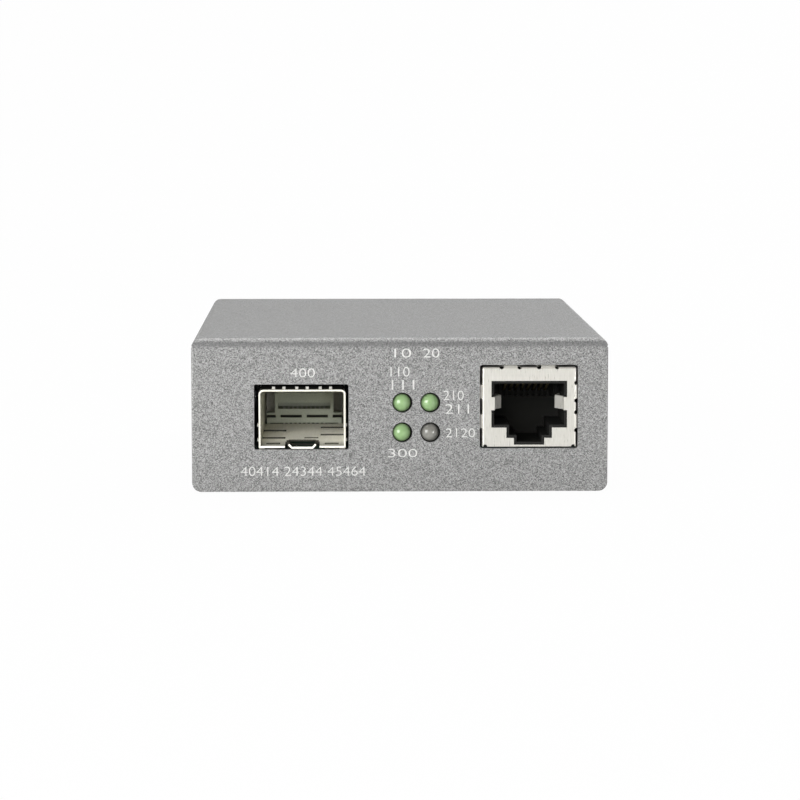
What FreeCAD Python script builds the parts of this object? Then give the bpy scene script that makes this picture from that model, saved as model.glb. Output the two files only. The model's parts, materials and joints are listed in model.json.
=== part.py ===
import FreeCAD, Part
import os

# Fibre media converter: a folded steel lid over a steel tray, and in it one circuit board that
# carries an SFP cage, a shielded RJ45 jack, four lamps in a holder and a DC inlet.
# Millimetres, +Z up, front towards -Y, +X to the right as seen from the front.
# The origin is on the standing surface, under the middle of the whole.

V = FreeCAD.Vector

# Case: lid and tray
CASE_WIDTH = 70.0
CASE_DEPTH = 93.7
CASE_HEIGHT = 26.0
SHEET = 1.0                    # steel sheet of the lid and the tray
FOLD_RADIUS = 1.7              # outside radius of every fold
LID_FOOT = 0.05                # front and rear walls end this far above the standing surface
SIDE_FOOT = 1.9                # side walls end here, above the tray's folds
LID_CORNER_RADIUS = 1.6        # lower corners of the front and rear walls
EDGE_ROUND = 0.3               # painted upright edges of the front and rear walls
CORNER_SEAM = 0.12             # slit between a side wall and the front or rear wall
CORNER_NICK = 0.2              # radius of the relief where two folds meet
LID_CLEARANCE = 0.1            # between the tray and the lid's walls
TRAY_WALL_TOP = 14.0

# Vent slots in the side walls
VENT_COUNT = 10
VENT_PITCH = 4.0
VENT_WIDTH = 2.0
VENT_HEIGHT = 7.0
VENT_MIDDLE_Z = 19.0

# Screws
SCREW_RADIUS = 1.5
SCREW_CLEARANCE = 0.05
CASE_SCREW_HEAD_RADIUS = 2.5
CASE_SCREW_LENGTH = 4.0
CASE_SCREW_Y = 30.0            # each side has one this far in front of and behind the middle
CASE_SCREW_Z = 10.8
BOARD_SCREW_HEAD_RADIUS = 2.75
BOARD_SCREW_HEAD_HEIGHT = 1.7
BOARD_SCREW_HEAD_ROUND = 1.0
BOARD_SCREW_LENGTH = 5.0
CROSS_LENGTH = 2.6
CROSS_WIDTH = 0.6
CROSS_DEPTH = 0.7

# Circuit board and its standoffs
STANDOFF_HEIGHT = 4.9
STANDOFF_FLATS = 5.0
STANDOFF_SPIGOT_RADIUS = 2.1   # swaged end in the tray
SPIGOT_RECESS = 0.1            # the swaged end stays above the standing surface
BOARD_SIDE_GAP = 0.9           # between the board and the tray's side walls
BOARD_FRONT_GAP = 0.6          # between the board and the lid's front wall
BOARD_REAR_GAP = 1.4
BOARD_THICKNESS = 1.6
BOARD_CORNER_RADIUS = 1.0
BOARD_HOLE_CLEARANCE = 0.2
PIN_CLEARANCE = 0.15           # round a pin in its plated hole
STANDOFF_SIDE = 4.0            # standoffs' middles from the board's side edges
STANDOFF_FRONT_LEFT = 6.4      # from the board's front edge
STANDOFF_FRONT_RIGHT = 25.9
STANDOFF_REAR = 5.6            # from the board's rear edge

# SFP cage
CAGE_INSET = 18.55             # middle of the cage from the case's left side
CAGE_WIDTH = 14.6
CAGE_HEIGHT = 9.8
CAGE_LENGTH = 48.8
CAGE_SHEET = 0.3
CAGE_CORNER_RADIUS = 0.8
CAGE_SETBACK = 0.05            # rim behind the lid's front face
CAGE_GAP_LEFT = 0.75
CAGE_GAP_RIGHT = 0.5
CAGE_GAP_TOP = 0.9
CAGE_GAP_BOTTOM = 0.3
CAGE_CUTOUT_RADIUS = 0.3
CAGE_FLOOR_GAP = 0.9           # between the floor's end and the connector
CAGE_PIN_COUNT = 4
CAGE_PIN_FRONT = 15.0          # first pin behind the rim
CAGE_PIN_REAR = 2.3            # last pin before the back wall
CAGE_PIN_WIDTH = 0.6
CAGE_PIN_LENGTH = 2.2
LATCH_WINDOW_FRONT_WIDTH = 3.75
LATCH_WINDOW_REAR_WIDTH = 4.7
LATCH_WINDOW_START = 0.6
LATCH_WINDOW_END = 9.2
LATCH_SLOT_X = 2.67
LATCH_SLOT_WIDTH = 0.5
LATCH_SLOT_LENGTH = 6.2
LATCH_LIP_RISE = 0.4           # sides of the tongue's dished front edge, above the floor's middle
LATCH_LIP_DIP = 0.15
LATCH_LIP_FLAT = 3.5
FLOOR_TAB_X = 4.95
FLOOR_TAB_WIDTH = 2.4
FLOOR_TAB_START = 2.2
FLOOR_TAB_LENGTH = 2.4
FLOOR_TAB_HINGE = 0.25         # level part of a lanced tab, before its bend
FLOOR_TAB_DROP = 0.9           # back and down from the bend
FLOOR_SLOT_X = 1.45            # short slot across the floor, right of its middle
FLOOR_SLOT_WIDTH = 2.45
FLOOR_SLOT_LENGTH = 1.6
SIDE_WINDOW_WIDTH = 4.0
SIDE_WINDOW_LENGTH = 2.4
SIDE_WINDOWS_LEFT = (11.7, 22.5)    # behind the rim
SIDE_WINDOWS_RIGHT = (16.3, 27.2)
BOARD_NOTCH_WIDTH = 15.6
BOARD_NOTCH_END = 10.5         # the board's front edge steps back under the latch to here

# Ground springs round the front of the cage
SPRING_SHEET = 0.12
SPRING_RUN = 3.2
SPRING_START = 0.35
SPRING_CREST_TOP = 0.45
SPRING_CREST_SIDE = 0.25
SPRING_WIDTH = 0.5
SPRING_NOSE = 0.15             # run of a finger's steep front end
SPRING_CREST_RUN = 1.6         # end of its level crest
SPRING_BAND_START = 4.2        # band that joins the fingers, behind their front ends
SPRING_BAND_END = 5.8
SPRING_TAIL = 4.7              # a finger ends here, inside the band
SPRING_PAIR_SPACING = 1.75
SPRING_GROUP_SPACING = 3.93
SPRING_GROUP_COUNT = 3         # pairs of fingers on the roof
SIDE_SPRING_LOW = 1.3
SIDE_SPRING_HIGH = 3.8
FLOOR_SPRING_X = 6.72

# SFP connector inside the cage
CONNECTOR_REAR_GAP = 5.5       # between the connector and the cage's back wall
CONNECTOR_WIDTH = 10.5
CONNECTOR_DEPTH = 8.8
CONNECTOR_HEIGHT = 5.6
CONNECTOR_FOOT = 0.35          # body above the board
CONNECTOR_ROUND = 0.4
CONNECTOR_FOOT_WIDTH = 0.6
CONNECTOR_FLANGE_WIDTH = 13.4
CONNECTOR_FLANGE_HEIGHT = 1.8
CONNECTOR_FLANGE_DEPTH = 2.5
CARD_SLOT_WIDTH = 9.4
CARD_SLOT_HEIGHT = 1.05
CARD_SLOT_DEPTH = 5.0
CARD_SLOT_RISE = 3.4           # slot's middle above the board
POCKET_COUNT = 4
POCKET_PITCH = 4.675           # the outer two run out through the flange's ends
POCKET_WIDTH = 3.8
POCKET_HEIGHT = 0.5
POCKET_DEPTH = 2.2
POCKET_RISE = 1.55             # pockets' middle above the board
CONNECTOR_PIN_COUNT = 10       # in each of two rows
CONNECTOR_PIN_PITCH = 0.8
CONNECTOR_PIN_WIDTH = 0.35
CONNECTOR_PIN_SHEET = 0.2
CONNECTOR_PIN_REACH = 0.65     # tail beyond the connector's front or rear
CONNECTOR_PIN_PLAY = 0.05      # round a contact in the body
CONTACT_BEAM_LENGTH = 4.4      # contact beams in the card slot, back from the face
CONTACT_BEAM_CREST = 1.4
CONTACT_BEAM_BOW = 0.15
CONTACT_BEAM_TIP = 0.5

# RJ45 jack
RJ45_INSET = 13.25             # middle of the jack from the case's right side
RJ45_WIDTH = 15.85
RJ45_HEIGHT = 13.4
RJ45_DEPTH = 21.0
RJ45_RISE = 0.1                # shield above the board
RJ45_SETBACK = 0.1
RJ45_GAP_LEFT = 0.4
RJ45_GAP_RIGHT = 0.25
RJ45_GAP_TOP = 0.42
RJ45_GAP_BOTTOM = 0.28
RJ45_CUTOUT_RADIUS = 0.45
SHIELD_SHEET = 0.25
SHIELD_FOLD_RADIUS = 0.35
PLUG_WIDTH = 12.75             # stepped aperture, plug and latch
PLUG_TOP = 11.1
PLUG_FLOOR = 3.2
STEP_WIDTH = 7.67
STEP_FLOOR = 1.45
LATCH_WIDTH = 5.13
LATCH_FLOOR = 0.3
HOUSING_RIM = 0.45             # plastic rim seen inside the shield's aperture
HOUSING_PLAY = 0.02            # between the housing and the shield
HOUSING_DEPTH = 15.6
CAVITY_DEPTH = 13.2
COMB_COUNT = 10
CONTACT_COUNT = 8
CONTACT_PITCH = 1.016
COMB_SLOT_WIDTH = 0.62
COMB_SLOT_DEPTH = 1.1
COMB_BOTTOM = 7.2              # above the shield's lower edge
CONTACT_CHANNEL_RISE = 1.8     # channels in the housing's roof above the plug's space
CONTACT_WIDTH = 0.42
CONTACT_SHEET = 0.3
CONTACT_PIN_STAGGER = 2.54
CONTACT_PIN_BACK = 1.0         # rear row of pins before the shield's back
CONTACT_CHANNEL_FRONT = 1.2    # channels start behind the housing's face
CONTACT_BEND = 0.6
CONTACT_END_BACK = 0.66        # a wire's free end in its comb slot, from the slot's front and bottom
CONTACT_END_RISE = 1.0
CONTACT_NOSE_FRONT = 1.7       # foremost point of a wire, behind the housing's face
CONTACT_NOSE_RUN = 0.9         # from the nose back to the slope, and up to the channel
CONTACT_NOSE_RISE = 0.8        # above the plug space's ceiling
CONTACT_SLOPE_RISE = 0.3
PIN_BELOW_BOARD = 0.9
INSERT_SIDE_GAP = 0.4          # between the insert and the shield's sides, and under it
INSERT_RISE = 1.2
PEG_RADIUS = 1.6
PEG_SPACING = 11.43
PEG_BACK = 9.0                 # behind the shield's face
PEG_LENGTH = 2.4
PEG_ROOT = 0.1                 # peg inside the housing
HOUSING_FOOT_HALF = 1.2        # feet under the housing's rear
HOUSING_FOOT_FRONT = 3.0
HOUSING_FOOT_REAR = 1.0
PANEL_TAB_WIDTH = 2.3
PANEL_TAB_RUN = 3.6
PANEL_TAB_GAP = 0.03           # between a tab's crest and the edge of the lid's cut-out
PANEL_TAB_PROFILE = ((0.0, 0.0), (0.1, 1.0), (0.45, 1.0), (1.0, 0.0), (1.15, 0.0))  # of run and crest
PANEL_TAB_HIGH = 9.25          # middles of the side tabs above the shield's lower edge
PANEL_TAB_LOW = 4.25
PANEL_TAB_TOP_SPACING = 6.3
PANEL_NICK = 0.36
SHIELD_RELIEF_INSET = 0.5      # reliefs in the face's lower corners, from its sides
GROUND_LEAF_LOW = 6.15
GROUND_LEAF_HIGH = 8.35
GROUND_LEAF_PROFILE = ((0.3, 0.0), (-0.45, 0.0), (-0.5, 1.6), (-1.7, 3.6), (-0.9, 6.4))
GROUND_LEAF_SPACE = 0.25       # above and below a leaf in the housing
GROUND_LEAF_SPACE_DEPTH = 8.0
SHIELD_LEG_BACK = 13.5
SHIELD_LEG_WIDTH = 1.4
SHIELD_LEG_LENGTH = 2.6

# Lamps
LAMP_RADIUS = 1.5
LAMP_HOLE_RADIUS = 1.7
LAMP_SHIFT = 0.4075            # right of the middle between the cage and the jack
LAMP_PITCH_X = 4.71
LAMP_PITCH_Z = 5.03
LAMP_LOW_RISE = 2.55           # lower row above the board
LAMP_DRIFT_X = -0.09           # the holder sits this far off the holes' middles
LAMP_DRIFT_Z = -0.1
LAMP_PROUD = 0.3               # domes stand out of the lid's front face
LAMP_LENGTH = 5.4
LAMP_FLANGE_RADIUS = 1.9
LAMP_FLANGE_LENGTH = 1.0
LAMP_LEAD_SIZE = 0.5
LAMP_LEAD_SPACING = 2.54
LOW_LEAD_DROP = 2.2            # bend behind the flange
HIGH_LEAD_DROP = 4.8
HOLDER_WIDTH = 9.6
HOLDER_TOP_MARGIN = 2.3
HOLDER_GAP = 0.1               # behind the lid's front wall

# DC inlet
INLET_INSET = 19.0             # middle of the inlet from the case's right side
INLET_WIDTH = 9.0
INLET_HEIGHT = 11.0
INLET_DEPTH = 14.2
INLET_SETBACK = 0.1
INLET_GAP = 0.3
INLET_COLLAR_DEPTH = 3.4
INLET_CORNER_RADIUS = 1.5
INLET_BARREL_RADIUS = 4.1
INLET_AXIS_RISE = 6.5
INLET_BORE_RADIUS = 3.2
INLET_BORE_DEPTH = 9.4
INLET_PIN_RADIUS = 1.0
INLET_PIN_SETBACK = 0.8
INLET_PIN_ROUND = 0.4
INLET_PIN_FLANGE_RADIUS = 1.7
INLET_BLADE_WIDTH = 2.4
INLET_BLADE_SHEET = 0.4
INLET_BLADE_LENGTH = 2.6       # below the board's top
INLET_SPRING_FROM_BACK = 7.6   # blades' middles before the inlet's back
INLET_SWITCH_FROM_BACK = 4.6
INLET_PIN_FROM_BACK = 0.6
INLET_SWITCH_INSET = 0.2       # switch blade's middle inside the inlet's side
INLET_SWITCH_TOP = 1.5         # switch blade ends below the axis
INLET_PLAY = 0.1               # round the blades in the body
INLET_SPRING_ENTRY = 0.4       # space for the leaf, up into the bore
INLET_SPRING_PROFILE = ((0.0, -1.0), (1.2, -0.5), (2.2, 0.0), (2.8, -0.6))  # run, and rise from the bore

# Parts on the board
TRANSFORMER_LENGTH = 12.7
TRANSFORMER_WIDTH = 7.1
TRANSFORMER_HEIGHT = 5.6
TRANSFORMER_RISE = 0.25
TRANSFORMER_BEHIND_JACK = 9.85
TRANSFORMER_SHIFT = 5.75       # left of the jack's middle
TRANSFORMER_NOTCH_RADIUS = 0.8
TRANSFORMER_NOTCH_DEPTH = 1.0
TRANSFORMER_LEAD_COUNT = 8
TRANSFORMER_LEAD_PITCH = 1.27
TRANSFORMER_LEAD_WIDTH = 0.5
TRANSFORMER_LEAD_RISE = 1.6
CHIP_SIDE = 7.0
CHIP_HEIGHT = 1.4
CHIP_RISE = 0.1
CHIP_BEHIND_TRANSFORMER = 2.5  # its middle behind the transformer's
CHIP_DOT_RADIUS = 0.4
CHIP_DOT_INSET = 1.1
CHIP_DOT_DEPTH = 0.1
CHIP_LEAD_COUNT = 8            # on each side
CHIP_LEAD_PITCH = 0.8
CHIP_LEAD_WIDTH = 0.35
LEAD_SHEET = 0.18
SMALL_LEAD_REACH = 0.5         # a lead's run out of the package, and its foot on the board
LARGE_LEAD_REACH = 0.7
LARGE_LEAD_FOOT = 0.8
CRYSTAL_LENGTH = 11.2
CRYSTAL_WIDTH = 4.7
CRYSTAL_HEIGHT = 3.6
CRYSTAL_FLANGE = 0.5
CRYSTAL_AHEAD_OF_CHIP = 12.5
INDUCTOR_SIDE = 10.2
INDUCTOR_HEIGHT = 4.4
INDUCTOR_CORNER = 2.2
INDUCTOR_DRUM_RADIUS = 3.9
INDUCTOR_DRUM_GROOVE = 0.5
INDUCTOR_GROOVE_DEPTH = 1.2
INDUCTOR_BEHIND_TRANSFORMER = 18.5
INDUCTOR_SHIFT = 2.0           # left of the transformer's middle
CAPACITOR_RADIUS = 3.15
CAPACITOR_HEIGHT = 11.0
CAPACITOR_CRIMP = 0.3
CAPACITOR_CRIMP_RISE = 1.2
CAPACITOR_EDGE = 6.5           # middle of each from the board's right edge
INPUT_CAPACITOR_REAR = 20.6    # from the board's rear edge
REGULATOR_LENGTH = 6.5
REGULATOR_WIDTH = 3.5
REGULATOR_HEIGHT = 1.6
REGULATOR_CHAMFER = 0.3
REGULATOR_BEHIND_INDUCTOR = 14.0
REGULATOR_SHIFT = 10.0         # left of the inductor's middle
REGULATOR_LEAD_COUNT = 3
REGULATOR_LEAD_PITCH = 2.3
REGULATOR_LEAD_WIDTH = 0.7
REGULATOR_TAB_WIDTH = 3.0
CHIP_PART_LENGTH = 2.0
CHIP_PART_WIDTH = 1.25
CHIP_PART_HEIGHT = 0.6
CHIP_PART_COUNT = 4
CHIP_PART_PITCH = 2.6
CHIP_PART_ROW_GAP = 7.0        # rows' middles from the regulator's, and behind the chip's edge

# Levels and faces that follow
LID_FRONT = (LAMP_PROUD - CASE_DEPTH) / 2
LID_REAR = (LAMP_PROUD + CASE_DEPTH) / 2
TRAY_HALF_WIDTH = CASE_WIDTH / 2 - SHEET - LID_CLEARANCE
BOARD_HALF_WIDTH = TRAY_HALF_WIDTH - SHEET - BOARD_SIDE_GAP
BOARD_FRONT = LID_FRONT + SHEET + BOARD_FRONT_GAP
BOARD_REAR = LID_REAR - SHEET - BOARD_REAR_GAP
BOARD_BOTTOM = SHEET + STANDOFF_HEIGHT
BOARD_TOP = BOARD_BOTTOM + BOARD_THICKNESS
CAGE_X = CAGE_INSET - CASE_WIDTH / 2
CAGE_FRONT = LID_FRONT + CAGE_SETBACK
CAGE_REAR = CAGE_FRONT + CAGE_LENGTH
CAGE_TOP = BOARD_TOP + CAGE_HEIGHT
CONNECTOR_FRONT = CAGE_REAR - CAGE_SHEET - CONNECTOR_REAR_GAP - CONNECTOR_DEPTH
RJ45_X = CASE_WIDTH / 2 - RJ45_INSET
RJ45_FRONT = LID_FRONT + RJ45_SETBACK
RJ45_BOTTOM = BOARD_TOP + RJ45_RISE
RJ45_TOP = RJ45_BOTTOM + RJ45_HEIGHT
HOUSING_FRONT = RJ45_FRONT + SHIELD_SHEET
INLET_X = CASE_WIDTH / 2 - INLET_INSET
INLET_FACE = LID_REAR - INLET_SETBACK
INLET_AXIS_Z = BOARD_TOP + INLET_AXIS_RISE
LAMP_MIDDLE_X = (CAGE_X + CAGE_WIDTH / 2 + RJ45_X - RJ45_WIDTH / 2) / 2 + LAMP_SHIFT
LAMP_ROWS = (BOARD_TOP + LAMP_LOW_RISE, BOARD_TOP + LAMP_LOW_RISE + LAMP_PITCH_Z)
LAMP_COLUMNS = (LAMP_MIDDLE_X - LAMP_PITCH_X / 2, LAMP_MIDDLE_X + LAMP_PITCH_X / 2)
TRANSFORMER_X = RJ45_X - TRANSFORMER_SHIFT
TRANSFORMER_Y = RJ45_FRONT + RJ45_DEPTH + TRANSFORMER_BEHIND_JACK + TRANSFORMER_WIDTH / 2
CHIP_X = (CAGE_X + CAGE_WIDTH / 2 + TRANSFORMER_X - TRANSFORMER_LENGTH / 2) / 2
CHIP_Y = TRANSFORMER_Y + CHIP_BEHIND_TRANSFORMER
CRYSTAL_Y = CHIP_Y - CRYSTAL_AHEAD_OF_CHIP
INDUCTOR_X = TRANSFORMER_X - INDUCTOR_SHIFT
INDUCTOR_Y = TRANSFORMER_Y + INDUCTOR_BEHIND_TRANSFORMER
CAPACITOR_X = BOARD_HALF_WIDTH - CAPACITOR_EDGE
INPUT_CAPACITOR_Y = BOARD_REAR - INPUT_CAPACITOR_REAR
REGULATOR_X = INDUCTOR_X - REGULATOR_SHIFT
REGULATOR_Y = INDUCTOR_Y + REGULATOR_BEHIND_INDUCTOR


# Shapes used by several pieces

def block(x0, x1, y0, y1, z0, z1):
    """Rectangular solid between two opposite corners."""
    return Part.makeBox(x1 - x0, y1 - y0, z1 - z0, V(x0, y0, z0))


def rod(radius, start, end):
    """Round solid from one point to another."""
    return Part.makeCylinder(radius, (end - start).Length, start, end - start)


def rounded(solid, radius, chosen):
    """The solid with a fillet on each edge that the test picks."""
    return solid.makeFillet(radius, [edge for edge in solid.Edges if chosen(edge)])


def runs_along(edge, direction):
    """Whether a straight edge is parallel to a direction."""
    start, end = (vertex.Point for vertex in edge.Vertexes)
    return (end - start).normalize().cross(direction).Length < 1e-6


def rounded_block(x0, x1, y0, y1, z0, z1, radius, direction):
    """Rectangular solid whose four edges along one direction are rounded."""
    solid = block(x0, x1, y0, y1, z0, z1)
    return rounded(solid, radius, lambda edge: runs_along(edge, direction))


def joined(shapes):
    """One solid from several that touch or overlap."""
    return shapes[0].multiFuse(shapes[1:]).removeSplitter()


def bent_strip(points, thickness, across):
    """Sheet strip that follows the points; its width runs along the vector across."""
    sideways = V(across).normalize()
    runs = [(end - start).normalize() for start, end in zip(points, points[1:])]
    outer, inner = [], []
    for index, point in enumerate(points):
        arriving = runs[max(index - 1, 0)]
        leaving = runs[min(index, len(runs) - 1)]
        ahead = (arriving + leaving).normalize()
        offset = ahead.cross(sideways) * (thickness / 2 / ahead.dot(leaving))
        outer.append(point + offset)
        inner.append(point - offset)
    outline = outer + inner[::-1]
    face = Part.Face(Part.makePolygon(outline + outline[:1]))
    return face.extrude(V(across))


def cross_recess(tip, direction):
    """Cross-shaped driver recess, cut from the head's top along a direction."""
    arm = max(V(1, 0, 0), V(0, 1, 0), V(0, 0, 1), key=lambda axis: direction.cross(axis).Length)
    other = direction.cross(arm)
    blades = []
    for along, aside in ((arm, other), (other, arm)):
        corner = tip - along * (CROSS_LENGTH / 2) - aside * (CROSS_WIDTH / 2)
        outline = [corner, corner + along * CROSS_LENGTH,
                   corner + along * CROSS_LENGTH + aside * CROSS_WIDTH, corner + aside * CROSS_WIDTH]
        face = Part.Face(Part.makePolygon(outline + outline[:1]))
        blades.append(face.extrude(direction * CROSS_DEPTH))
    return joined(blades)


def spaced(count, pitch):
    """Places of a row about its middle."""
    return [(index - (count - 1) / 2) * pitch for index in range(count)]


# Case

def case_screw_places():
    """Outer face and inward direction of each side screw."""
    return [(V(side * CASE_WIDTH / 2, y, CASE_SCREW_Z), V(-side, 0, 0))
            for side in (-1, 1) for y in (-CASE_SCREW_Y, CASE_SCREW_Y)]


def vent_slot(side, y):
    """Upright slot with round ends through one side wall."""
    outside = side * (CASE_WIDTH / 2 + SHEET)
    inside = side * (CASE_WIDTH / 2 - 2 * SHEET)
    straight = VENT_HEIGHT / 2 - VENT_WIDTH / 2
    slot = block(min(outside, inside), max(outside, inside), y - VENT_WIDTH / 2, y + VENT_WIDTH / 2,
                 VENT_MIDDLE_Z - straight, VENT_MIDDLE_Z + straight)
    ends = [rod(VENT_WIDTH / 2, V(outside, y, VENT_MIDDLE_Z + end), V(inside, y, VENT_MIDDLE_Z + end))
            for end in (-straight, straight)]
    return joined([slot] + ends)


def lid_corner_cuts():
    """What is missing at the four upright corners: slit, fold relief and rounded lower corner."""
    cuts = []
    for side in (-1, 1):
        for end, wall_y in ((-1, LID_FRONT), (1, LID_REAR)):
            edge_x = side * CASE_WIDTH / 2
            inner_y = wall_y - end * SHEET
            seam_y = inner_y - end * CORNER_SEAM
            seam_x = edge_x - side * SHEET
            cuts.append(block(min(edge_x, seam_x), max(edge_x, seam_x), min(inner_y, seam_y),
                              max(inner_y, seam_y), LID_FOOT, CASE_HEIGHT - FOLD_RADIUS))
            nick_z = CASE_HEIGHT - FOLD_RADIUS + CORNER_NICK
            cuts.append(rod(CORNER_NICK, V(edge_x, wall_y, nick_z),
                            V(edge_x, wall_y - end * FOLD_RADIUS, nick_z)))
            round_x = edge_x - side * LID_CORNER_RADIUS
            corner = block(min(edge_x, round_x), max(edge_x, round_x), min(wall_y, inner_y),
                           max(wall_y, inner_y), LID_FOOT, LID_FOOT + LID_CORNER_RADIUS)
            middle = V(round_x, wall_y, LID_FOOT + LID_CORNER_RADIUS)
            cuts.append(corner.cut(rod(LID_CORNER_RADIUS, middle, V(round_x, inner_y, middle.z))))
            soft_x, soft_y = edge_x - side * EDGE_ROUND, wall_y - end * EDGE_ROUND
            edge = block(min(edge_x, soft_x), max(edge_x, soft_x), min(wall_y, soft_y), max(wall_y, soft_y),
                         LID_FOOT, nick_z)
            cuts.append(edge.cut(rod(EDGE_ROUND, V(soft_x, soft_y, LID_FOOT), V(soft_x, soft_y, nick_z))))
    return cuts


def front_cutouts():
    """Openings in the front wall for the cage, the jack and the lamps."""
    near, far = LID_FRONT - SHEET, LID_FRONT + 2 * SHEET
    cage = rounded_block(CAGE_X - CAGE_WIDTH / 2 - CAGE_GAP_LEFT, CAGE_X + CAGE_WIDTH / 2 + CAGE_GAP_RIGHT,
                         near, far, BOARD_TOP - CAGE_GAP_BOTTOM, CAGE_TOP + CAGE_GAP_TOP,
                         CAGE_CUTOUT_RADIUS, V(0, 1, 0))
    jack = rounded_block(RJ45_X - RJ45_WIDTH / 2 - RJ45_GAP_LEFT, RJ45_X + RJ45_WIDTH / 2 + RJ45_GAP_RIGHT,
                         near, far, RJ45_BOTTOM - RJ45_GAP_BOTTOM, RJ45_TOP + RJ45_GAP_TOP,
                         RJ45_CUTOUT_RADIUS, V(0, 1, 0))
    lamps = [rod(LAMP_HOLE_RADIUS, V(x, near, z), V(x, far, z)) for x in LAMP_COLUMNS for z in LAMP_ROWS]
    return [cage, jack] + lamps


def inlet_cutout():
    """Opening in the rear wall round the DC inlet's collar."""
    half = INLET_WIDTH / 2 + INLET_GAP
    cutout = block(INLET_X - half, INLET_X + half, LID_REAR - 2 * SHEET, LID_REAR + SHEET,
                   BOARD_TOP - INLET_GAP, BOARD_TOP + INLET_HEIGHT + INLET_GAP)
    return rounded(cutout, INLET_CORNER_RADIUS,
                   lambda edge: edge.BoundBox.ZMin > BOARD_TOP + 1 and runs_along(edge, V(0, 1, 0)))


def make_lid():
    """Top with four walls folded down from one sheet, slit at the upright corners."""
    half_width = CASE_WIDTH / 2
    outer = block(-half_width, half_width, LID_FRONT, LID_REAR, LID_FOOT, CASE_HEIGHT)
    outer = rounded(outer, FOLD_RADIUS, lambda edge: edge.BoundBox.ZMin > CASE_HEIGHT - SHEET / 2)
    roof = CASE_HEIGHT - SHEET
    inner = block(SHEET - half_width, half_width - SHEET, LID_FRONT + SHEET, LID_REAR - SHEET, 0, roof)
    inner = rounded(inner, FOLD_RADIUS - SHEET, lambda edge: edge.BoundBox.ZMin > roof - SHEET / 2)
    cuts = lid_corner_cuts() + front_cutouts() + [inlet_cutout()]
    for side in (-1, 1):
        cuts.append(block(min(side * half_width, side * (half_width - SHEET)),
                          max(side * half_width, side * (half_width - SHEET)),
                          LID_FRONT + SHEET, LID_REAR - SHEET, LID_FOOT, SIDE_FOOT))
        cuts += [vent_slot(side, y) for y in spaced(VENT_COUNT, VENT_PITCH)]
    for place, inward in case_screw_places():
        cuts.append(Part.makeCone(CASE_SCREW_HEAD_RADIUS + SCREW_CLEARANCE, SCREW_RADIUS + SCREW_CLEARANCE,
                                  SHEET, place, inward))
    return outer.cut(inner).cut(Part.makeCompound(cuts))


def make_tray():
    """Base with its two side walls folded up, tapped for the side screws."""
    half_width = TRAY_HALF_WIDTH
    front, rear = LID_FRONT + SHEET + LID_CLEARANCE, LID_REAR - SHEET - LID_CLEARANCE
    outer = block(-half_width, half_width, front, rear, 0, TRAY_WALL_TOP)
    outer = rounded(outer, FOLD_RADIUS,
                    lambda edge: edge.BoundBox.ZMax < SHEET / 2 and runs_along(edge, V(0, 1, 0)))
    inner = block(SHEET - half_width, half_width - SHEET, front, rear, SHEET, TRAY_WALL_TOP)
    inner = rounded(inner, FOLD_RADIUS - SHEET,
                    lambda edge: edge.BoundBox.ZMax < 1.5 * SHEET and runs_along(edge, V(0, 1, 0)))
    holes = [rod(SCREW_RADIUS, place, place + inward * CASE_SCREW_LENGTH)
             for place, inward in case_screw_places()]
    holes += [rod(STANDOFF_SPIGOT_RADIUS, place - V(0, 0, SHEET), place + V(0, 0, 2 * SHEET))
              for place in standoff_places()]
    return outer.cut(inner).cut(Part.makeCompound(holes))


def make_case_screws():
    """Countersunk screws, flush with the lid's sides."""
    screws = []
    for place, inward in case_screw_places():
        head = Part.makeCone(CASE_SCREW_HEAD_RADIUS, SCREW_RADIUS, SHEET, place, inward)
        shank = rod(SCREW_RADIUS, place + inward * SHEET, place + inward * CASE_SCREW_LENGTH)
        screws.append(joined([head, shank]).cut(cross_recess(place, inward)))
    return Part.makeCompound(screws)


# Circuit board, standoffs and screws

def standoff_places():
    """Places of the four standoffs on the plan."""
    x = BOARD_HALF_WIDTH - STANDOFF_SIDE
    rear_y = BOARD_REAR - STANDOFF_REAR
    return [V(-x, BOARD_FRONT + STANDOFF_FRONT_LEFT, 0), V(x, BOARD_FRONT + STANDOFF_FRONT_RIGHT, 0),
            V(-x, rear_y, 0), V(x, rear_y, 0)]


def make_standoffs():
    """Hexagonal threaded standoffs, swaged into the tray."""
    pieces = []
    across_corners = STANDOFF_FLATS / 3 ** 0.5
    for place in standoff_places():
        corner = V(across_corners, 0, 0)
        outline = [place + V(0, 0, SHEET) + FreeCAD.Rotation(V(0, 0, 1), 60 * turn).multVec(corner)
                   for turn in range(7)]
        body = Part.Face(Part.makePolygon(outline)).extrude(V(0, 0, STANDOFF_HEIGHT))
        spigot = rod(STANDOFF_SPIGOT_RADIUS, place + V(0, 0, SPIGOT_RECESS), place + V(0, 0, SHEET))
        bore = rod(SCREW_RADIUS, place, place + V(0, 0, BOARD_TOP))
        pieces.append(joined([body, spigot]).cut(bore))
    return Part.makeCompound(pieces)


def make_board_screws():
    """Pan-head screws that hold the board on its standoffs."""
    screws = []
    for place in standoff_places():
        seat = place + V(0, 0, BOARD_TOP)
        top = seat + V(0, 0, BOARD_SCREW_HEAD_HEIGHT)
        head = rounded(rod(BOARD_SCREW_HEAD_RADIUS, seat, top), BOARD_SCREW_HEAD_ROUND,
                       lambda edge: edge.BoundBox.ZMin > top.z - 0.01)
        shank = rod(SCREW_RADIUS, seat - V(0, 0, BOARD_SCREW_LENGTH), seat)
        screws.append(joined([head, shank]).cut(cross_recess(top, V(0, 0, -1))))
    return Part.makeCompound(screws)


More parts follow.
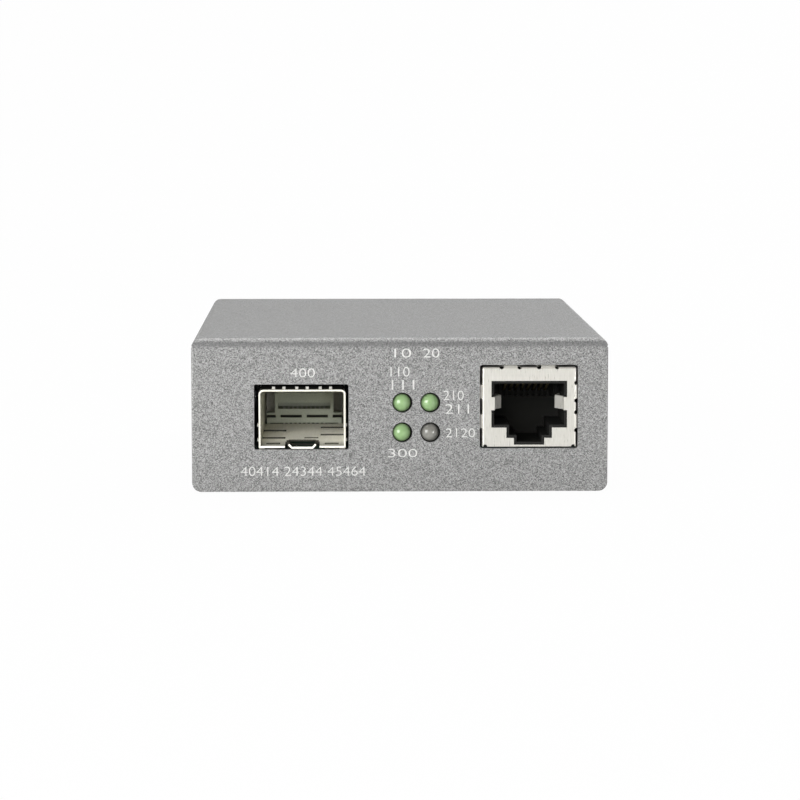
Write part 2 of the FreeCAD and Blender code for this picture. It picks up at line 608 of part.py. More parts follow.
def board_holes():
    """Radius and place of every hole for a pin, peg, leg or screw."""
    holes = [(SCREW_RADIUS + BOARD_HOLE_CLEARANCE, place) for place in standoff_places()]
    holes += [(CONTACT_SHEET / 2 + 2 * PIN_CLEARANCE, place) for place in contact_pin_places()]
    holes += [(PEG_RADIUS + PIN_CLEARANCE, place) for place in peg_places()]
    holes += [(SHIELD_LEG_WIDTH / 2 + PIN_CLEARANCE, place) for place in shield_leg_places()]
    holes += [(CAGE_PIN_WIDTH / 2 + PIN_CLEARANCE, place) for place in cage_pin_places()]
    holes += [(LAMP_LEAD_SIZE / 2 + 2 * PIN_CLEARANCE, place) for place in lamp_lead_places()]
    holes += [(INLET_BLADE_WIDTH / 2 + PIN_CLEARANCE, place) for place in inlet_blade_places()]
    return holes


def make_board():
    """Board with its front edge notched under the cage's latch."""
    board = rounded_block(-BOARD_HALF_WIDTH, BOARD_HALF_WIDTH, BOARD_FRONT, BOARD_REAR,
                          BOARD_BOTTOM, BOARD_TOP, BOARD_CORNER_RADIUS, V(0, 0, 1))
    half_notch = BOARD_NOTCH_WIDTH / 2
    cuts = [block(CAGE_X - half_notch, CAGE_X + half_notch, LID_FRONT, CAGE_FRONT + BOARD_NOTCH_END,
                  0, 2 * BOARD_TOP)]
    for radius, place in board_holes():
        cuts.append(rod(radius, V(place.x, place.y, 0), V(place.x, place.y, 2 * BOARD_TOP)))
    return board.cut(Part.makeCompound(cuts))


# SFP cage

def cage_pin_places():
    """Press-fit pins in a row along each side wall of the cage."""
    offset = (CAGE_WIDTH - CAGE_SHEET) / 2
    first, last = CAGE_FRONT + CAGE_PIN_FRONT, CAGE_REAR - CAGE_PIN_REAR
    pitch = (last - first) / (CAGE_PIN_COUNT - 1)
    return [V(CAGE_X + side * offset, first + step * pitch, 0)
            for side in (-1, 1) for step in range(CAGE_PIN_COUNT)]


def make_sfp_cage():
    """Folded roof, sides and back of the cage, with its press-fit pins."""
    half = CAGE_WIDTH / 2
    outer = block(CAGE_X - half, CAGE_X + half, CAGE_FRONT, CAGE_REAR, BOARD_TOP, CAGE_TOP)
    outer = rounded(outer, CAGE_CORNER_RADIUS,
                    lambda edge: edge.BoundBox.ZMin > BOARD_TOP + 1 and runs_along(edge, V(0, 1, 0)))
    roof = CAGE_TOP - CAGE_SHEET
    inner = block(CAGE_X - half + CAGE_SHEET, CAGE_X + half - CAGE_SHEET, CAGE_FRONT,
                  CAGE_REAR - CAGE_SHEET, BOARD_TOP, roof)
    inner = rounded(inner, CAGE_CORNER_RADIUS - CAGE_SHEET,
                    lambda edge: edge.BoundBox.ZMin > BOARD_TOP + 1 and runs_along(edge, V(0, 1, 0)))
    pins = [block(place.x - CAGE_SHEET / 2, place.x + CAGE_SHEET / 2, place.y - CAGE_PIN_WIDTH / 2,
                  place.y + CAGE_PIN_WIDTH / 2, BOARD_TOP - CAGE_PIN_LENGTH, BOARD_TOP)
            for place in cage_pin_places()]
    return joined([outer.cut(inner)] + pins)


def latch_cuts():
    """Window that catches a module's peg, and the two slots that free its tongue."""
    window = [V(CAGE_X + side * width / 2, CAGE_FRONT + back, 0)
              for side, width, back in ((-1, LATCH_WINDOW_FRONT_WIDTH, LATCH_WINDOW_START),
                                        (1, LATCH_WINDOW_FRONT_WIDTH, LATCH_WINDOW_START),
                                        (1, LATCH_WINDOW_REAR_WIDTH, LATCH_WINDOW_END),
                                        (-1, LATCH_WINDOW_REAR_WIDTH, LATCH_WINDOW_END))]
    cuts = [Part.Face(Part.makePolygon(window + window[:1])).extrude(V(0, 0, 2 * BOARD_TOP))]
    for side in (-1, 1):
        middle = CAGE_X + side * LATCH_SLOT_X
        cuts.append(block(middle - LATCH_SLOT_WIDTH / 2, middle + LATCH_SLOT_WIDTH / 2,
                          CAGE_FRONT, CAGE_FRONT + LATCH_SLOT_LENGTH, 0, 2 * BOARD_TOP))
    tongue = LATCH_SLOT_X - LATCH_SLOT_WIDTH / 2
    cuts.append(block(CAGE_X - tongue, CAGE_X + tongue, CAGE_FRONT, CAGE_FRONT + LATCH_WINDOW_START,
                      0, 2 * BOARD_TOP))
    return cuts


def latch_lip():
    """Dished front edge of the tongue, which guides a module's peg in."""
    level = BOARD_TOP + CAGE_SHEET / 2
    tongue = LATCH_SLOT_X - (LATCH_SLOT_WIDTH + CAGE_SHEET) / 2
    profile = ((-tongue, LATCH_LIP_RISE), (-LATCH_LIP_FLAT / 2, -LATCH_LIP_DIP),
               (LATCH_LIP_FLAT / 2, -LATCH_LIP_DIP), (tongue, LATCH_LIP_RISE))
    points = [V(CAGE_X + x, CAGE_FRONT, level + z) for x, z in profile]
    return bent_strip(points, CAGE_SHEET, V(0, LATCH_WINDOW_START, 0))


def make_sfp_cage_floor():
    """Floor of the cage with its latch tongue, two lanced tabs and the side windows."""
    half = CAGE_WIDTH / 2 - CAGE_SHEET
    floor = block(CAGE_X - half, CAGE_X + half, CAGE_FRONT, CONNECTOR_FRONT - CAGE_FLOOR_GAP,
                  BOARD_TOP, BOARD_TOP + CAGE_SHEET)
    slot_left = CAGE_X + FLOOR_SLOT_X - FLOOR_SLOT_WIDTH / 2
    slot_front = CAGE_FRONT + SIDE_WINDOWS_LEFT[0] - FLOOR_SLOT_LENGTH / 2
    cuts = latch_cuts()
    cuts.append(block(slot_left, slot_left + FLOOR_SLOT_WIDTH, slot_front, slot_front + FLOOR_SLOT_LENGTH,
                      0, 2 * BOARD_TOP))
    tabs = []
    for side in (-1, 1):
        left = CAGE_X + side * FLOOR_TAB_X - FLOOR_TAB_WIDTH / 2
        start = CAGE_FRONT + FLOOR_TAB_START
        end = start + FLOOR_TAB_LENGTH
        cuts.append(block(left, left + FLOOR_TAB_WIDTH, start, end, 0, 2 * BOARD_TOP))
        level = BOARD_TOP + CAGE_SHEET / 2
        bend = start + FLOOR_TAB_HINGE
        ramp = [V(left, start, level), V(left, bend, level),
                V(left, bend + FLOOR_TAB_DROP, level - FLOOR_TAB_DROP)]
        tabs.append(bent_strip(ramp, CAGE_SHEET, V(FLOOR_TAB_WIDTH, 0, 0)))
        wall = CAGE_X + side * half
        inner = wall - side * SIDE_WINDOW_WIDTH
        for back in SIDE_WINDOWS_LEFT if side < 0 else SIDE_WINDOWS_RIGHT:
            near = CAGE_FRONT + back - SIDE_WINDOW_LENGTH / 2
            cuts.append(block(min(wall, inner), max(wall, inner), near, near + SIDE_WINDOW_LENGTH,
                              0, 2 * BOARD_TOP))
    return joined([floor.cut(Part.makeCompound(cuts)), latch_lip()] + tabs)


def ground_spring(root, outward, across, crest):
    """Bowed finger: a steep front end behind the rim, a level crest, and a slope back to the cage."""
    lift = outward * (SPRING_SHEET / 2)
    shape = ((0, 0), (SPRING_NOSE, crest - SPRING_SHEET), (SPRING_CREST_RUN, crest - SPRING_SHEET),
             (SPRING_RUN, 0), (SPRING_TAIL, 0))
    points = [root + lift + V(0, run, 0) + outward * rise for run, rise in shape]
    return bent_strip(points, SPRING_SHEET, across)


def make_sfp_ground_springs():
    """Spring fingers on the roof, sides and floor of the cage, joined by a band behind them."""
    start = CAGE_FRONT + SPRING_START
    back = start + SPRING_BAND_START
    band_end = start + SPRING_BAND_END
    half = CAGE_WIDTH / 2
    left, right = CAGE_X - half, CAGE_X + half
    wide = SPRING_WIDTH
    fingers = []
    for group in spaced(SPRING_GROUP_COUNT, SPRING_GROUP_SPACING):
        for place in spaced(2, SPRING_PAIR_SPACING):
            root = V(CAGE_X + group + place - wide / 2, start, CAGE_TOP)
            fingers.append(ground_spring(root, V(0, 0, 1), V(wide, 0, 0), SPRING_CREST_TOP))
    for rise in (SIDE_SPRING_LOW, SIDE_SPRING_HIGH):
        for side, face in ((-1, left), (1, right)):
            root = V(face, start, BOARD_TOP + rise - wide / 2)
            fingers.append(ground_spring(root, V(side, 0, 0), V(0, 0, wide), SPRING_CREST_SIDE))
    for side in (-1, 1):
        root = V(CAGE_X + side * FLOOR_SPRING_X - wide, start, BOARD_TOP)
        fingers.append(ground_spring(root, V(0, 0, -1), V(2 * wide, 0, 0), SPRING_CREST_SIDE))
    band = block(left - SPRING_SHEET, right + SPRING_SHEET, back, band_end,
                 BOARD_TOP - SPRING_SHEET, CAGE_TOP + SPRING_SHEET)
    band = rounded(band, CAGE_CORNER_RADIUS + SPRING_SHEET,
                   lambda edge: edge.BoundBox.ZMin > BOARD_TOP + 1 and runs_along(edge, V(0, 1, 0)))
    bore = block(left, right, back, band_end, BOARD_TOP, CAGE_TOP)
    bore = rounded(bore, CAGE_CORNER_RADIUS,
                   lambda edge: edge.BoundBox.ZMin > BOARD_TOP + 1 and runs_along(edge, V(0, 1, 0)))
    return joined([band.cut(bore)] + fingers)


# SFP connector

def make_sfp_connector():
    """Card-edge connector behind the cage's floor, with its flange and four moulded pockets."""
    face = CONNECTOR_FRONT
    foot = BOARD_TOP + CONNECTOR_FOOT
    half = CONNECTOR_WIDTH / 2
    body = block(CAGE_X - half, CAGE_X + half, face, face + CONNECTOR_DEPTH, foot, foot + CONNECTOR_HEIGHT)
    body = rounded(body, CONNECTOR_ROUND, lambda edge: edge.BoundBox.ZMin > foot + 1)
    wide = CONNECTOR_FLANGE_WIDTH / 2
    flange = block(CAGE_X - wide, CAGE_X + wide, face, face + CONNECTOR_FLANGE_DEPTH,
                   foot, foot + CONNECTOR_FLANGE_HEIGHT)
    feet = [block(left, left + CONNECTOR_FOOT_WIDTH, face, face + CONNECTOR_FLANGE_DEPTH, BOARD_TOP, foot)
            for left in (CAGE_X - wide, CAGE_X + wide - CONNECTOR_FOOT_WIDTH)]
    slot_z = BOARD_TOP + CARD_SLOT_RISE
    cuts = [block(CAGE_X - CARD_SLOT_WIDTH / 2, CAGE_X + CARD_SLOT_WIDTH / 2, face, face + CARD_SLOT_DEPTH,
                  slot_z - CARD_SLOT_HEIGHT / 2, slot_z + CARD_SLOT_HEIGHT / 2)]
    pocket_z = BOARD_TOP + POCKET_RISE
    for place in spaced(POCKET_COUNT, POCKET_PITCH):
        cuts.append(block(CAGE_X + place - POCKET_WIDTH / 2, CAGE_X + place + POCKET_WIDTH / 2,
                          face, face + POCKET_DEPTH,
                          pocket_z - POCKET_HEIGHT / 2, pocket_z + POCKET_HEIGHT / 2))
    channels = connector_strips(CONNECTOR_PIN_WIDTH + 2 * CONNECTOR_PIN_PLAY,
                                CONNECTOR_PIN_SHEET + 2 * CONNECTOR_PIN_PLAY)
    return joined([body, flange] + feet).cut(Part.makeCompound(cuts + channels))


def connector_strips(width, thickness):
    """Course of all twenty contacts: a tail on the board, a riser, and a bowed beam in the card slot."""
    face = CONNECTOR_FRONT
    low = BOARD_TOP + CONNECTOR_PIN_SHEET / 2
    middle = BOARD_TOP + CARD_SLOT_RISE
    root = face + CONTACT_BEAM_LENGTH
    strips = []
    for row, tail in ((-1, face - CONNECTOR_PIN_REACH), (1, face + CONNECTOR_DEPTH + CONNECTOR_PIN_REACH)):
        beam = middle + row * (CARD_SLOT_HEIGHT / 2 + CONNECTOR_PIN_SHEET / 2)
        riser = root + row * CONNECTOR_PIN_PITCH
        course = [(tail, low), (riser, low), (riser, beam), (face + CONTACT_BEAM_LENGTH / 2, beam),
                  (face + CONTACT_BEAM_CREST, beam - row * CONTACT_BEAM_BOW), (face + CONTACT_BEAM_TIP, beam)]
        for place in spaced(CONNECTOR_PIN_COUNT, CONNECTOR_PIN_PITCH):
            points = [V(CAGE_X + place - width / 2, y, z) for y, z in course]
            strips.append(bent_strip(points, thickness, V(width, 0, 0)))
    return strips


def make_sfp_connector_contacts():
    """Ten contacts below the card slot with tails in front, and ten above it with tails behind."""
    return Part.makeCompound(connector_strips(CONNECTOR_PIN_WIDTH, CONNECTOR_PIN_SHEET))


# RJ45 jack

def stepped_outline(inset, y):
    """Plug and latch aperture: a wide opening over two narrower steps, shrunk by the inset."""
    widths = (PLUG_WIDTH / 2 - inset, STEP_WIDTH / 2 - inset, LATCH_WIDTH / 2 - inset)
    floors = (RJ45_BOTTOM + PLUG_FLOOR + inset, RJ45_BOTTOM + STEP_FLOOR + inset,
              RJ45_BOTTOM + LATCH_FLOOR + inset)
    top = RJ45_BOTTOM + PLUG_TOP - inset
    right = [(widths[0], top), (widths[0], floors[0]), (widths[1], floors[0]),
             (widths[1], floors[1]), (widths[2], floors[1]), (widths[2], floors[2])]
    corners = [V(RJ45_X + x, y, z) for x, z in right]
    corners += [V(RJ45_X - x, y, z) for x, z in reversed(right)]
    return Part.Face(Part.makePolygon(corners + corners[:1]))


def panel_tab_places():
    """Foot, outward and width directions, and space outside, of each tab towards the lid's cut-out."""
    half = RJ45_WIDTH / 2
    places = []
    for side, space in ((-1, RJ45_GAP_LEFT), (1, RJ45_GAP_RIGHT)):
        for rise in (PANEL_TAB_LOW, PANEL_TAB_HIGH):
            places.append((V(RJ45_X + side * half, RJ45_FRONT, RJ45_BOTTOM + rise),
                           V(side, 0, 0), V(0, 0, 1), space))
        places.append((V(RJ45_X + side * PANEL_TAB_TOP_SPACING / 2, RJ45_FRONT, RJ45_TOP),
                       V(0, 0, 1), V(1, 0, 0), RJ45_GAP_TOP))
    return places


def shield_leg_places():
    """One board lock leg in the middle of each side wall."""
    offset = (RJ45_WIDTH - SHIELD_SHEET) / 2
    return [V(RJ45_X + side * offset, RJ45_FRONT + SHIELD_LEG_BACK, 0) for side in (-1, 1)]


def panel_tab(foot, outward, along, space):
    """Bowed tab of the shield; the sheet round it is cut away so that it can give."""
    inset = outward * (SHIELD_SHEET / 2)
    points = [foot - inset - along * (PANEL_TAB_WIDTH / 2) + V(0, SHIELD_SHEET / 2 + run * PANEL_TAB_RUN, 0)
              + outward * (rise * (space - PANEL_TAB_GAP)) for run, rise in PANEL_TAB_PROFILE]
    return bent_strip(points, SHIELD_SHEET, along * PANEL_TAB_WIDTH)


def panel_tab_window(foot, outward, along):
    """What is cut from the shield's wall under a tab, with a nick in the face at each end."""
    half = PANEL_TAB_WIDTH / 2
    corner = foot - outward * SHIELD_SHEET + V(0, SHIELD_SHEET, 0)
    low = corner - along * (half + PANEL_NICK)
    high = corner + outward * (2 * SHIELD_SHEET) + along * (half + PANEL_NICK) + V(0, PANEL_TAB_RUN, 0)
    window = block(min(low.x, high.x), max(low.x, high.x), low.y, high.y, min(low.z, high.z),
                   max(low.z, high.z))
    nicks = [rod(PANEL_NICK, foot + along * place, foot + along * place + V(0, PANEL_TAB_RUN, 0))
             for place in (-half - PANEL_NICK, half + PANEL_NICK)]
    return [window] + nicks


def ground_leaf(side):
    """Leaf folded back from the aperture's edge that touches a shielded plug's side."""
    edge = side * PLUG_WIDTH / 2
    points = [V(RJ45_X + edge + side * x, RJ45_FRONT + SHIELD_SHEET / 2 + y, RJ45_BOTTOM + GROUND_LEAF_LOW)
              for x, y in GROUND_LEAF_PROFILE]
    return bent_strip(points, SHIELD_SHEET, V(0, 0, GROUND_LEAF_HIGH - GROUND_LEAF_LOW))


def make_rj45_shield():
    """Tinned sheet folded round the jack: face with aperture, roof, sides, back and two legs."""
    half = RJ45_WIDTH / 2
    rear = RJ45_FRONT + RJ45_DEPTH
    outer = block(RJ45_X - half, RJ45_X + half, RJ45_FRONT, rear, RJ45_BOTTOM, RJ45_TOP)
    outer = rounded(outer, SHIELD_FOLD_RADIUS, lambda edge: edge.BoundBox.ZMax > RJ45_TOP - 1
                    and not (edge.BoundBox.YMin > rear - 1 and edge.BoundBox.ZMin < RJ45_TOP - 1))
    inner = block(RJ45_X - half + SHIELD_SHEET, RJ45_X + half - SHIELD_SHEET, RJ45_FRONT + SHIELD_SHEET,
                  rear - SHIELD_SHEET, RJ45_BOTTOM, RJ45_TOP - SHIELD_SHEET)
    cuts = [stepped_outline(0, LID_FRONT - SHEET).extrude(V(0, 2 * SHEET, 0))]
    for side in (-1, 1):
        corner = V(RJ45_X + side * (half - SHIELD_RELIEF_INSET), RJ45_FRONT, RJ45_BOTTOM)
        cuts.append(rod(PANEL_NICK, corner, corner + V(0, SHIELD_SHEET, 0)))
    tabs = [ground_leaf(-1), ground_leaf(1)]
    for foot, outward, along, space in panel_tab_places():
        cuts += panel_tab_window(foot, outward, along)
        tabs.append(panel_tab(foot, outward, along, space))
    for place in shield_leg_places():
        tabs.append(block(place.x - SHIELD_SHEET / 2, place.x + SHIELD_SHEET / 2,
                          place.y - SHIELD_LEG_WIDTH / 2, place.y + SHIELD_LEG_WIDTH / 2,
                          RJ45_BOTTOM - SHIELD_LEG_LENGTH, RJ45_BOTTOM + 1))
    return joined([outer.cut(inner).cut(Part.makeCompound(cuts))] + tabs)


def peg_places():
    """The housing's two locating pegs."""
    return [V(RJ45_X + side * PEG_SPACING / 2, RJ45_FRONT + PEG_BACK, 0) for side in (-1, 1)]


def contact_places():
    """Middles of the contacts across the jack."""
    return [RJ45_X + place for place in spaced(CONTACT_COUNT, CONTACT_PITCH)]


def contact_pin_rows():
    """The two rows that the contacts' board pins alternate between."""
    rear_row = RJ45_FRONT + RJ45_DEPTH - SHIELD_SHEET - CONTACT_PIN_BACK
    return rear_row, rear_row - CONTACT_PIN_STAGGER


def contact_pin_places():
    """Board pin of every contact."""
    return [V(x, contact_pin_rows()[index % 2], 0) for index, x in enumerate(contact_places())]


def make_rj45_housing():
    """Moulded housing: stepped plug space, comb at its back, contact channels in its roof."""
    play = SHIELD_SHEET + HOUSING_PLAY
    half = RJ45_WIDTH / 2 - play
    top = RJ45_TOP - play
    front = HOUSING_FRONT + HOUSING_PLAY
    rear = front + HOUSING_DEPTH
    body = block(RJ45_X - half, RJ45_X + half, front, rear, RJ45_BOTTOM, top)
    cuts = [stepped_outline(HOUSING_RIM, front).extrude(V(0, CAVITY_DEPTH, 0))]
    back = front + CAVITY_DEPTH
    ceiling = RJ45_BOTTOM + PLUG_TOP - HOUSING_RIM
    slot = COMB_SLOT_WIDTH / 2
    for place in spaced(COMB_COUNT, CONTACT_PITCH):
        cuts.append(block(RJ45_X + place - slot, RJ45_X + place + slot, back, back + COMB_SLOT_DEPTH,
                          RJ45_BOTTOM + COMB_BOTTOM, ceiling))
    for x in contact_places():
        cuts.append(block(x - slot, x + slot, front + CONTACT_CHANNEL_FRONT, rear, ceiling,
                          ceiling + CONTACT_CHANNEL_RISE))
    for side in (-1, 1):
        outside = RJ45_X + side * (half + 1)
        inside = RJ45_X + side * (PLUG_WIDTH / 2 - HOUSING_RIM - 1)
        cuts.append(block(min(outside, inside), max(outside, inside), front, front + GROUND_LEAF_SPACE_DEPTH,
                          RJ45_BOTTOM + GROUND_LEAF_LOW - GROUND_LEAF_SPACE,
                          RJ45_BOTTOM + GROUND_LEAF_HIGH + GROUND_LEAF_SPACE))
    pegs = [rod(PEG_RADIUS, place + V(0, 0, BOARD_TOP - PEG_LENGTH), place + V(0, 0, RJ45_BOTTOM + PEG_ROOT))
            for place in peg_places()]
    feet = [block(place.x - HOUSING_FOOT_HALF, place.x + HOUSING_FOOT_HALF, rear - HOUSING_FOOT_FRONT,
                  rear - HOUSING_FOOT_REAR, BOARD_TOP, RJ45_BOTTOM) for place in peg_places()]
    return joined([body.cut(Part.makeCompound(cuts))] + pegs + feet)


def make_rj45_insert():
    """Rear block that locks the contacts, with a slot down its back for each one."""
    play = SHIELD_SHEET + HOUSING_PLAY
    front = HOUSING_FRONT + HOUSING_PLAY + HOUSING_DEPTH
    rear = RJ45_FRONT + RJ45_DEPTH - play
    top = RJ45_TOP - play
    ceiling = RJ45_BOTTOM + PLUG_TOP - HOUSING_RIM
    half = RJ45_WIDTH / 2 - play - INSERT_SIDE_GAP
    body = block(RJ45_X - half, RJ45_X + half, front, rear, BOARD_TOP + INSERT_RISE, top)
    slot = COMB_SLOT_WIDTH / 2
    rear_row = contact_pin_rows()[0]
    cuts = []
    for x in contact_places():
        cuts.append(block(x - slot, x + slot, front, rear, ceiling, ceiling + CONTACT_CHANNEL_RISE))
        cuts.append(block(x - slot, x + slot, rear_row - CONTACT_SHEET, rear, BOARD_TOP,
                          ceiling + CONTACT_CHANNEL_RISE))
    return body.cut(Part.makeCompound(cuts))


def make_rj45_contacts():
    """Eight wires: up from the comb, round the roof's front edge, back, and down to the board."""
    ceiling = RJ45_BOTTOM + PLUG_TOP - HOUSING_RIM
    front = HOUSING_FRONT + HOUSING_PLAY
    back = front + CAVITY_DEPTH
    upper = ceiling + CONTACT_CHANNEL_RISE - CONTACT_SHEET / 2
    nose = front + CONTACT_NOSE_FRONT
    rows = contact_pin_rows()
    jog = BOARD_TOP + CONTACT_BEND
    wires = []
    for index, x in enumerate(contact_places()):
        left = x - CONTACT_WIDTH / 2
        pin_y = rows[index % 2]
        path = [(back + CONTACT_END_BACK, RJ45_BOTTOM + COMB_BOTTOM + CONTACT_END_RISE),
                (nose + CONTACT_NOSE_RUN, ceiling + CONTACT_SLOPE_RISE), (nose, ceiling + CONTACT_NOSE_RISE),
                (nose + CONTACT_NOSE_RUN, upper),
                (rows[0] - CONTACT_BEND, upper), (rows[0], upper - CONTACT_BEND)]
        if pin_y != rows[0]:
            path += [(rows[0], jog), (pin_y, jog)]
        path.append((pin_y, BOARD_BOTTOM - PIN_BELOW_BOARD))
        points = [V(left, y, z) for y, z in path]
        wires.append(bent_strip(points, CONTACT_SHEET, V(CONTACT_WIDTH, 0, 0)))
    return Part.makeCompound(wires)


# Lamps

def lamp_middle(column, row):
    """A lamp's axis: the hole's middle and the holder's drift."""
    return LAMP_COLUMNS[column] + LAMP_DRIFT_X, LAMP_ROWS[row] + LAMP_DRIFT_Z


def lamp_flange_back():
    """Rear face of every lamp's flange."""
    return LID_FRONT - LAMP_PROUD + LAMP_LENGTH


def lamp_lead_drop(row):
    """Where a row's leads turn down to the board."""
    return lamp_flange_back() + (HIGH_LEAD_DROP if row else LOW_LEAD_DROP)


def lamp_lead_places():
    """Board holes of all lamp leads."""
    places = []
    for row in (0, 1):
        for column in (0, 1):
            x = lamp_middle(column, row)[0]
            places += [V(x + offset, lamp_lead_drop(row), 0) for offset in spaced(2, LAMP_LEAD_SPACING)]
    return places


def make_lamp(column, row):
    """Round lamp: domed front, straight body and a flange behind the holder."""
    x, z = lamp_middle(column, row)
    tip = LID_FRONT - LAMP_PROUD
    back = lamp_flange_back()
    body = rod(LAMP_RADIUS, V(x, tip + LAMP_RADIUS, z), V(x, back, z))
    dome = Part.makeSphere(LAMP_RADIUS, V(x, tip + LAMP_RADIUS, z))
    flange = rod(LAMP_FLANGE_RADIUS, V(x, back - LAMP_FLANGE_LENGTH, z), V(x, back, z))
    return joined([body, dome, flange])


def make_lamp_leads():
    """Two bent leads from every lamp down through the board."""
    leads = []
    for row in (0, 1):
        for column in (0, 1):
            x, z = lamp_middle(column, row)
            drop = lamp_lead_drop(row)
            for offset in spaced(2, LAMP_LEAD_SPACING):
                left = x + offset - LAMP_LEAD_SIZE / 2
                path = [V(left, lamp_flange_back(), z), V(left, drop, z),
                        V(left, drop, BOARD_BOTTOM - PIN_BELOW_BOARD)]
                leads.append(bent_strip(path, LAMP_LEAD_SIZE, V(LAMP_LEAD_SIZE, 0, 0)))
    return Part.makeCompound(leads)


def make_lamp_holder():
    """Moulded block that stands on the board and holds the four lamps level."""
    front = LID_FRONT + SHEET + HOLDER_GAP
    back = lamp_flange_back() - LAMP_FLANGE_LENGTH
    middle = LAMP_MIDDLE_X + LAMP_DRIFT_X
    top = LAMP_ROWS[1] + LAMP_DRIFT_Z + HOLDER_TOP_MARGIN
    body = block(middle - HOLDER_WIDTH / 2, middle + HOLDER_WIDTH / 2, front, back, BOARD_TOP, top)
    bores = []
    for column in (0, 1):
        for row in (0, 1):
            x, z = lamp_middle(column, row)
            bores.append(rod(LAMP_RADIUS, V(x, front, z), V(x, back, z)))
    return body.cut(Part.makeCompound(bores))


# DC inlet

def inlet_blade_rows():
    """Distances behind the inlet's face of its spring, switch and pin blades."""
    return (INLET_DEPTH - INLET_SPRING_FROM_BACK, INLET_DEPTH - INLET_SWITCH_FROM_BACK,
            INLET_DEPTH - INLET_PIN_FROM_BACK)


def inlet_blade_places():
    """Board holes of the spring blade under the axis, the switch blade aside, and the pin's blade."""
    spring, switch, pin = inlet_blade_rows()
    aside = INLET_X + INLET_WIDTH / 2 - INLET_SWITCH_INSET
    return [V(INLET_X, INLET_FACE - spring, 0), V(aside, INLET_FACE - switch, 0),
            V(INLET_X, INLET_FACE - pin, 0)]


def make_inlet_body():
    """Moulded inlet: square collar, round barrel on a base, bore for the plug's sleeve."""
    half = INLET_WIDTH / 2
    face, back = INLET_FACE, INLET_FACE - INLET_DEPTH
    collar = block(INLET_X - half, INLET_X + half, face - INLET_COLLAR_DEPTH, face,
                   BOARD_TOP, BOARD_TOP + INLET_HEIGHT)
    collar = rounded(collar, INLET_CORNER_RADIUS,
                     lambda edge: edge.BoundBox.ZMin > BOARD_TOP + 1 and runs_along(edge, V(0, 1, 0)))
    axis_front = V(INLET_X, face, INLET_AXIS_Z)
    barrel = rod(INLET_BARREL_RADIUS, axis_front, V(INLET_X, back, INLET_AXIS_Z))
    base = block(INLET_X - INLET_BARREL_RADIUS, INLET_X + INLET_BARREL_RADIUS, back, face,
                 BOARD_TOP, INLET_AXIS_Z)
    floor_y = face - INLET_BORE_DEPTH
    bore = rod(INLET_BORE_RADIUS, axis_front, V(INLET_X, floor_y, INLET_AXIS_Z))
    flange_space = rod(INLET_PIN_FLANGE_RADIUS, V(INLET_X, floor_y, INLET_AXIS_Z),
                       V(INLET_X, back, INLET_AXIS_Z))
    spring, switch, pin = inlet_blade_rows()
    wide = INLET_BLADE_WIDTH / 2 + INLET_PLAY
    thick = INLET_BLADE_SHEET / 2 + INLET_PLAY
    spring_space = block(INLET_X - wide, INLET_X + wide, face - spring - thick, face - INLET_COLLAR_DEPTH,
                         BOARD_TOP, INLET_AXIS_Z - INLET_BORE_RADIUS + INLET_SPRING_ENTRY)
    pin_space = block(INLET_X - wide, INLET_X + wide, back, face - pin + thick,
                      BOARD_TOP, INLET_AXIS_Z)
    side_x = inlet_blade_places()[1].x
    switch_space = block(side_x - thick, INLET_X + INLET_WIDTH, face - switch - wide, face - switch + wide,
                         BOARD_TOP, INLET_AXIS_Z)
    return joined([collar, barrel, base]).cut(
        Part.makeCompound([bore, flange_space, spring_space, pin_space, switch_space]))


def make_inlet_pin():
    """Centre pin with its flange and the blade that takes it to the board."""
    floor_y = INLET_FACE - INLET_BORE_DEPTH
    back = INLET_FACE - INLET_DEPTH
    tip = V(INLET_X, INLET_FACE - INLET_PIN_SETBACK, INLET_AXIS_Z)
    pin = rod(INLET_PIN_RADIUS, V(INLET_X, floor_y, INLET_AXIS_Z), tip)
    pin = rounded(pin, INLET_PIN_ROUND, lambda edge: edge.BoundBox.YMin > tip.y - 0.01)
    flange = rod(INLET_PIN_FLANGE_RADIUS, V(INLET_X, back, INLET_AXIS_Z), V(INLET_X, floor_y, INLET_AXIS_Z))
    blade_y = INLET_FACE - inlet_blade_rows()[2]
    half = INLET_BLADE_WIDTH / 2
    thick = INLET_BLADE_SHEET / 2
    blade = block(INLET_X - half, INLET_X + half, blade_y - thick, blade_y + thick,
                  BOARD_TOP - INLET_BLADE_LENGTH, INLET_AXIS_Z)
    return joined([pin, flange, blade])


def make_inlet_spring():
    """Leaf under the bore that presses on the plug's sleeve."""
    spring_y = INLET_FACE - inlet_blade_rows()[0]
    bore_floor = INLET_AXIS_Z - INLET_BORE_RADIUS
    half = INLET_BLADE_WIDTH / 2
    path = [(spring_y, BOARD_TOP - INLET_BLADE_LENGTH)]
    path += [(spring_y + run, bore_floor + rise) for run, rise in INLET_SPRING_PROFILE]
    points = [V(INLET_X - half, y, z) for y, z in path]
    return bent_strip(points, INLET_BLADE_SHEET, V(INLET_BLADE_WIDTH, 0, 0))


def make_inlet_switch():
    """Blade on the inlet's side that the leaf leaves when a plug goes in."""
    place = inlet_blade_places()[1]
    half = INLET_BLADE_WIDTH / 2
    return block(place.x - INLET_BLADE_SHEET / 2, place.x + INLET_BLADE_SHEET / 2, place.y - half,
                 place.y + half, BOARD_TOP - INLET_BLADE_LENGTH, INLET_AXIS_Z - INLET_SWITCH_TOP)


# Parts on the board

def gull_lead(place, outward, wide, height, reach, foot):
    """Lead out of a package's side, down, and out along the board."""
    across = outward.cross(V(0, 0, 1)) * wide
    low = BOARD_TOP + LEAD_SHEET / 2
    start = V(place.x, place.y, height) - across / 2
    points = [start, start + outward * (reach / 2)]
    drop = V(start.x, start.y, low) + outward * reach
    points += [drop, drop + outward * foot]
    return bent_strip(points, LEAD_SHEET, across)


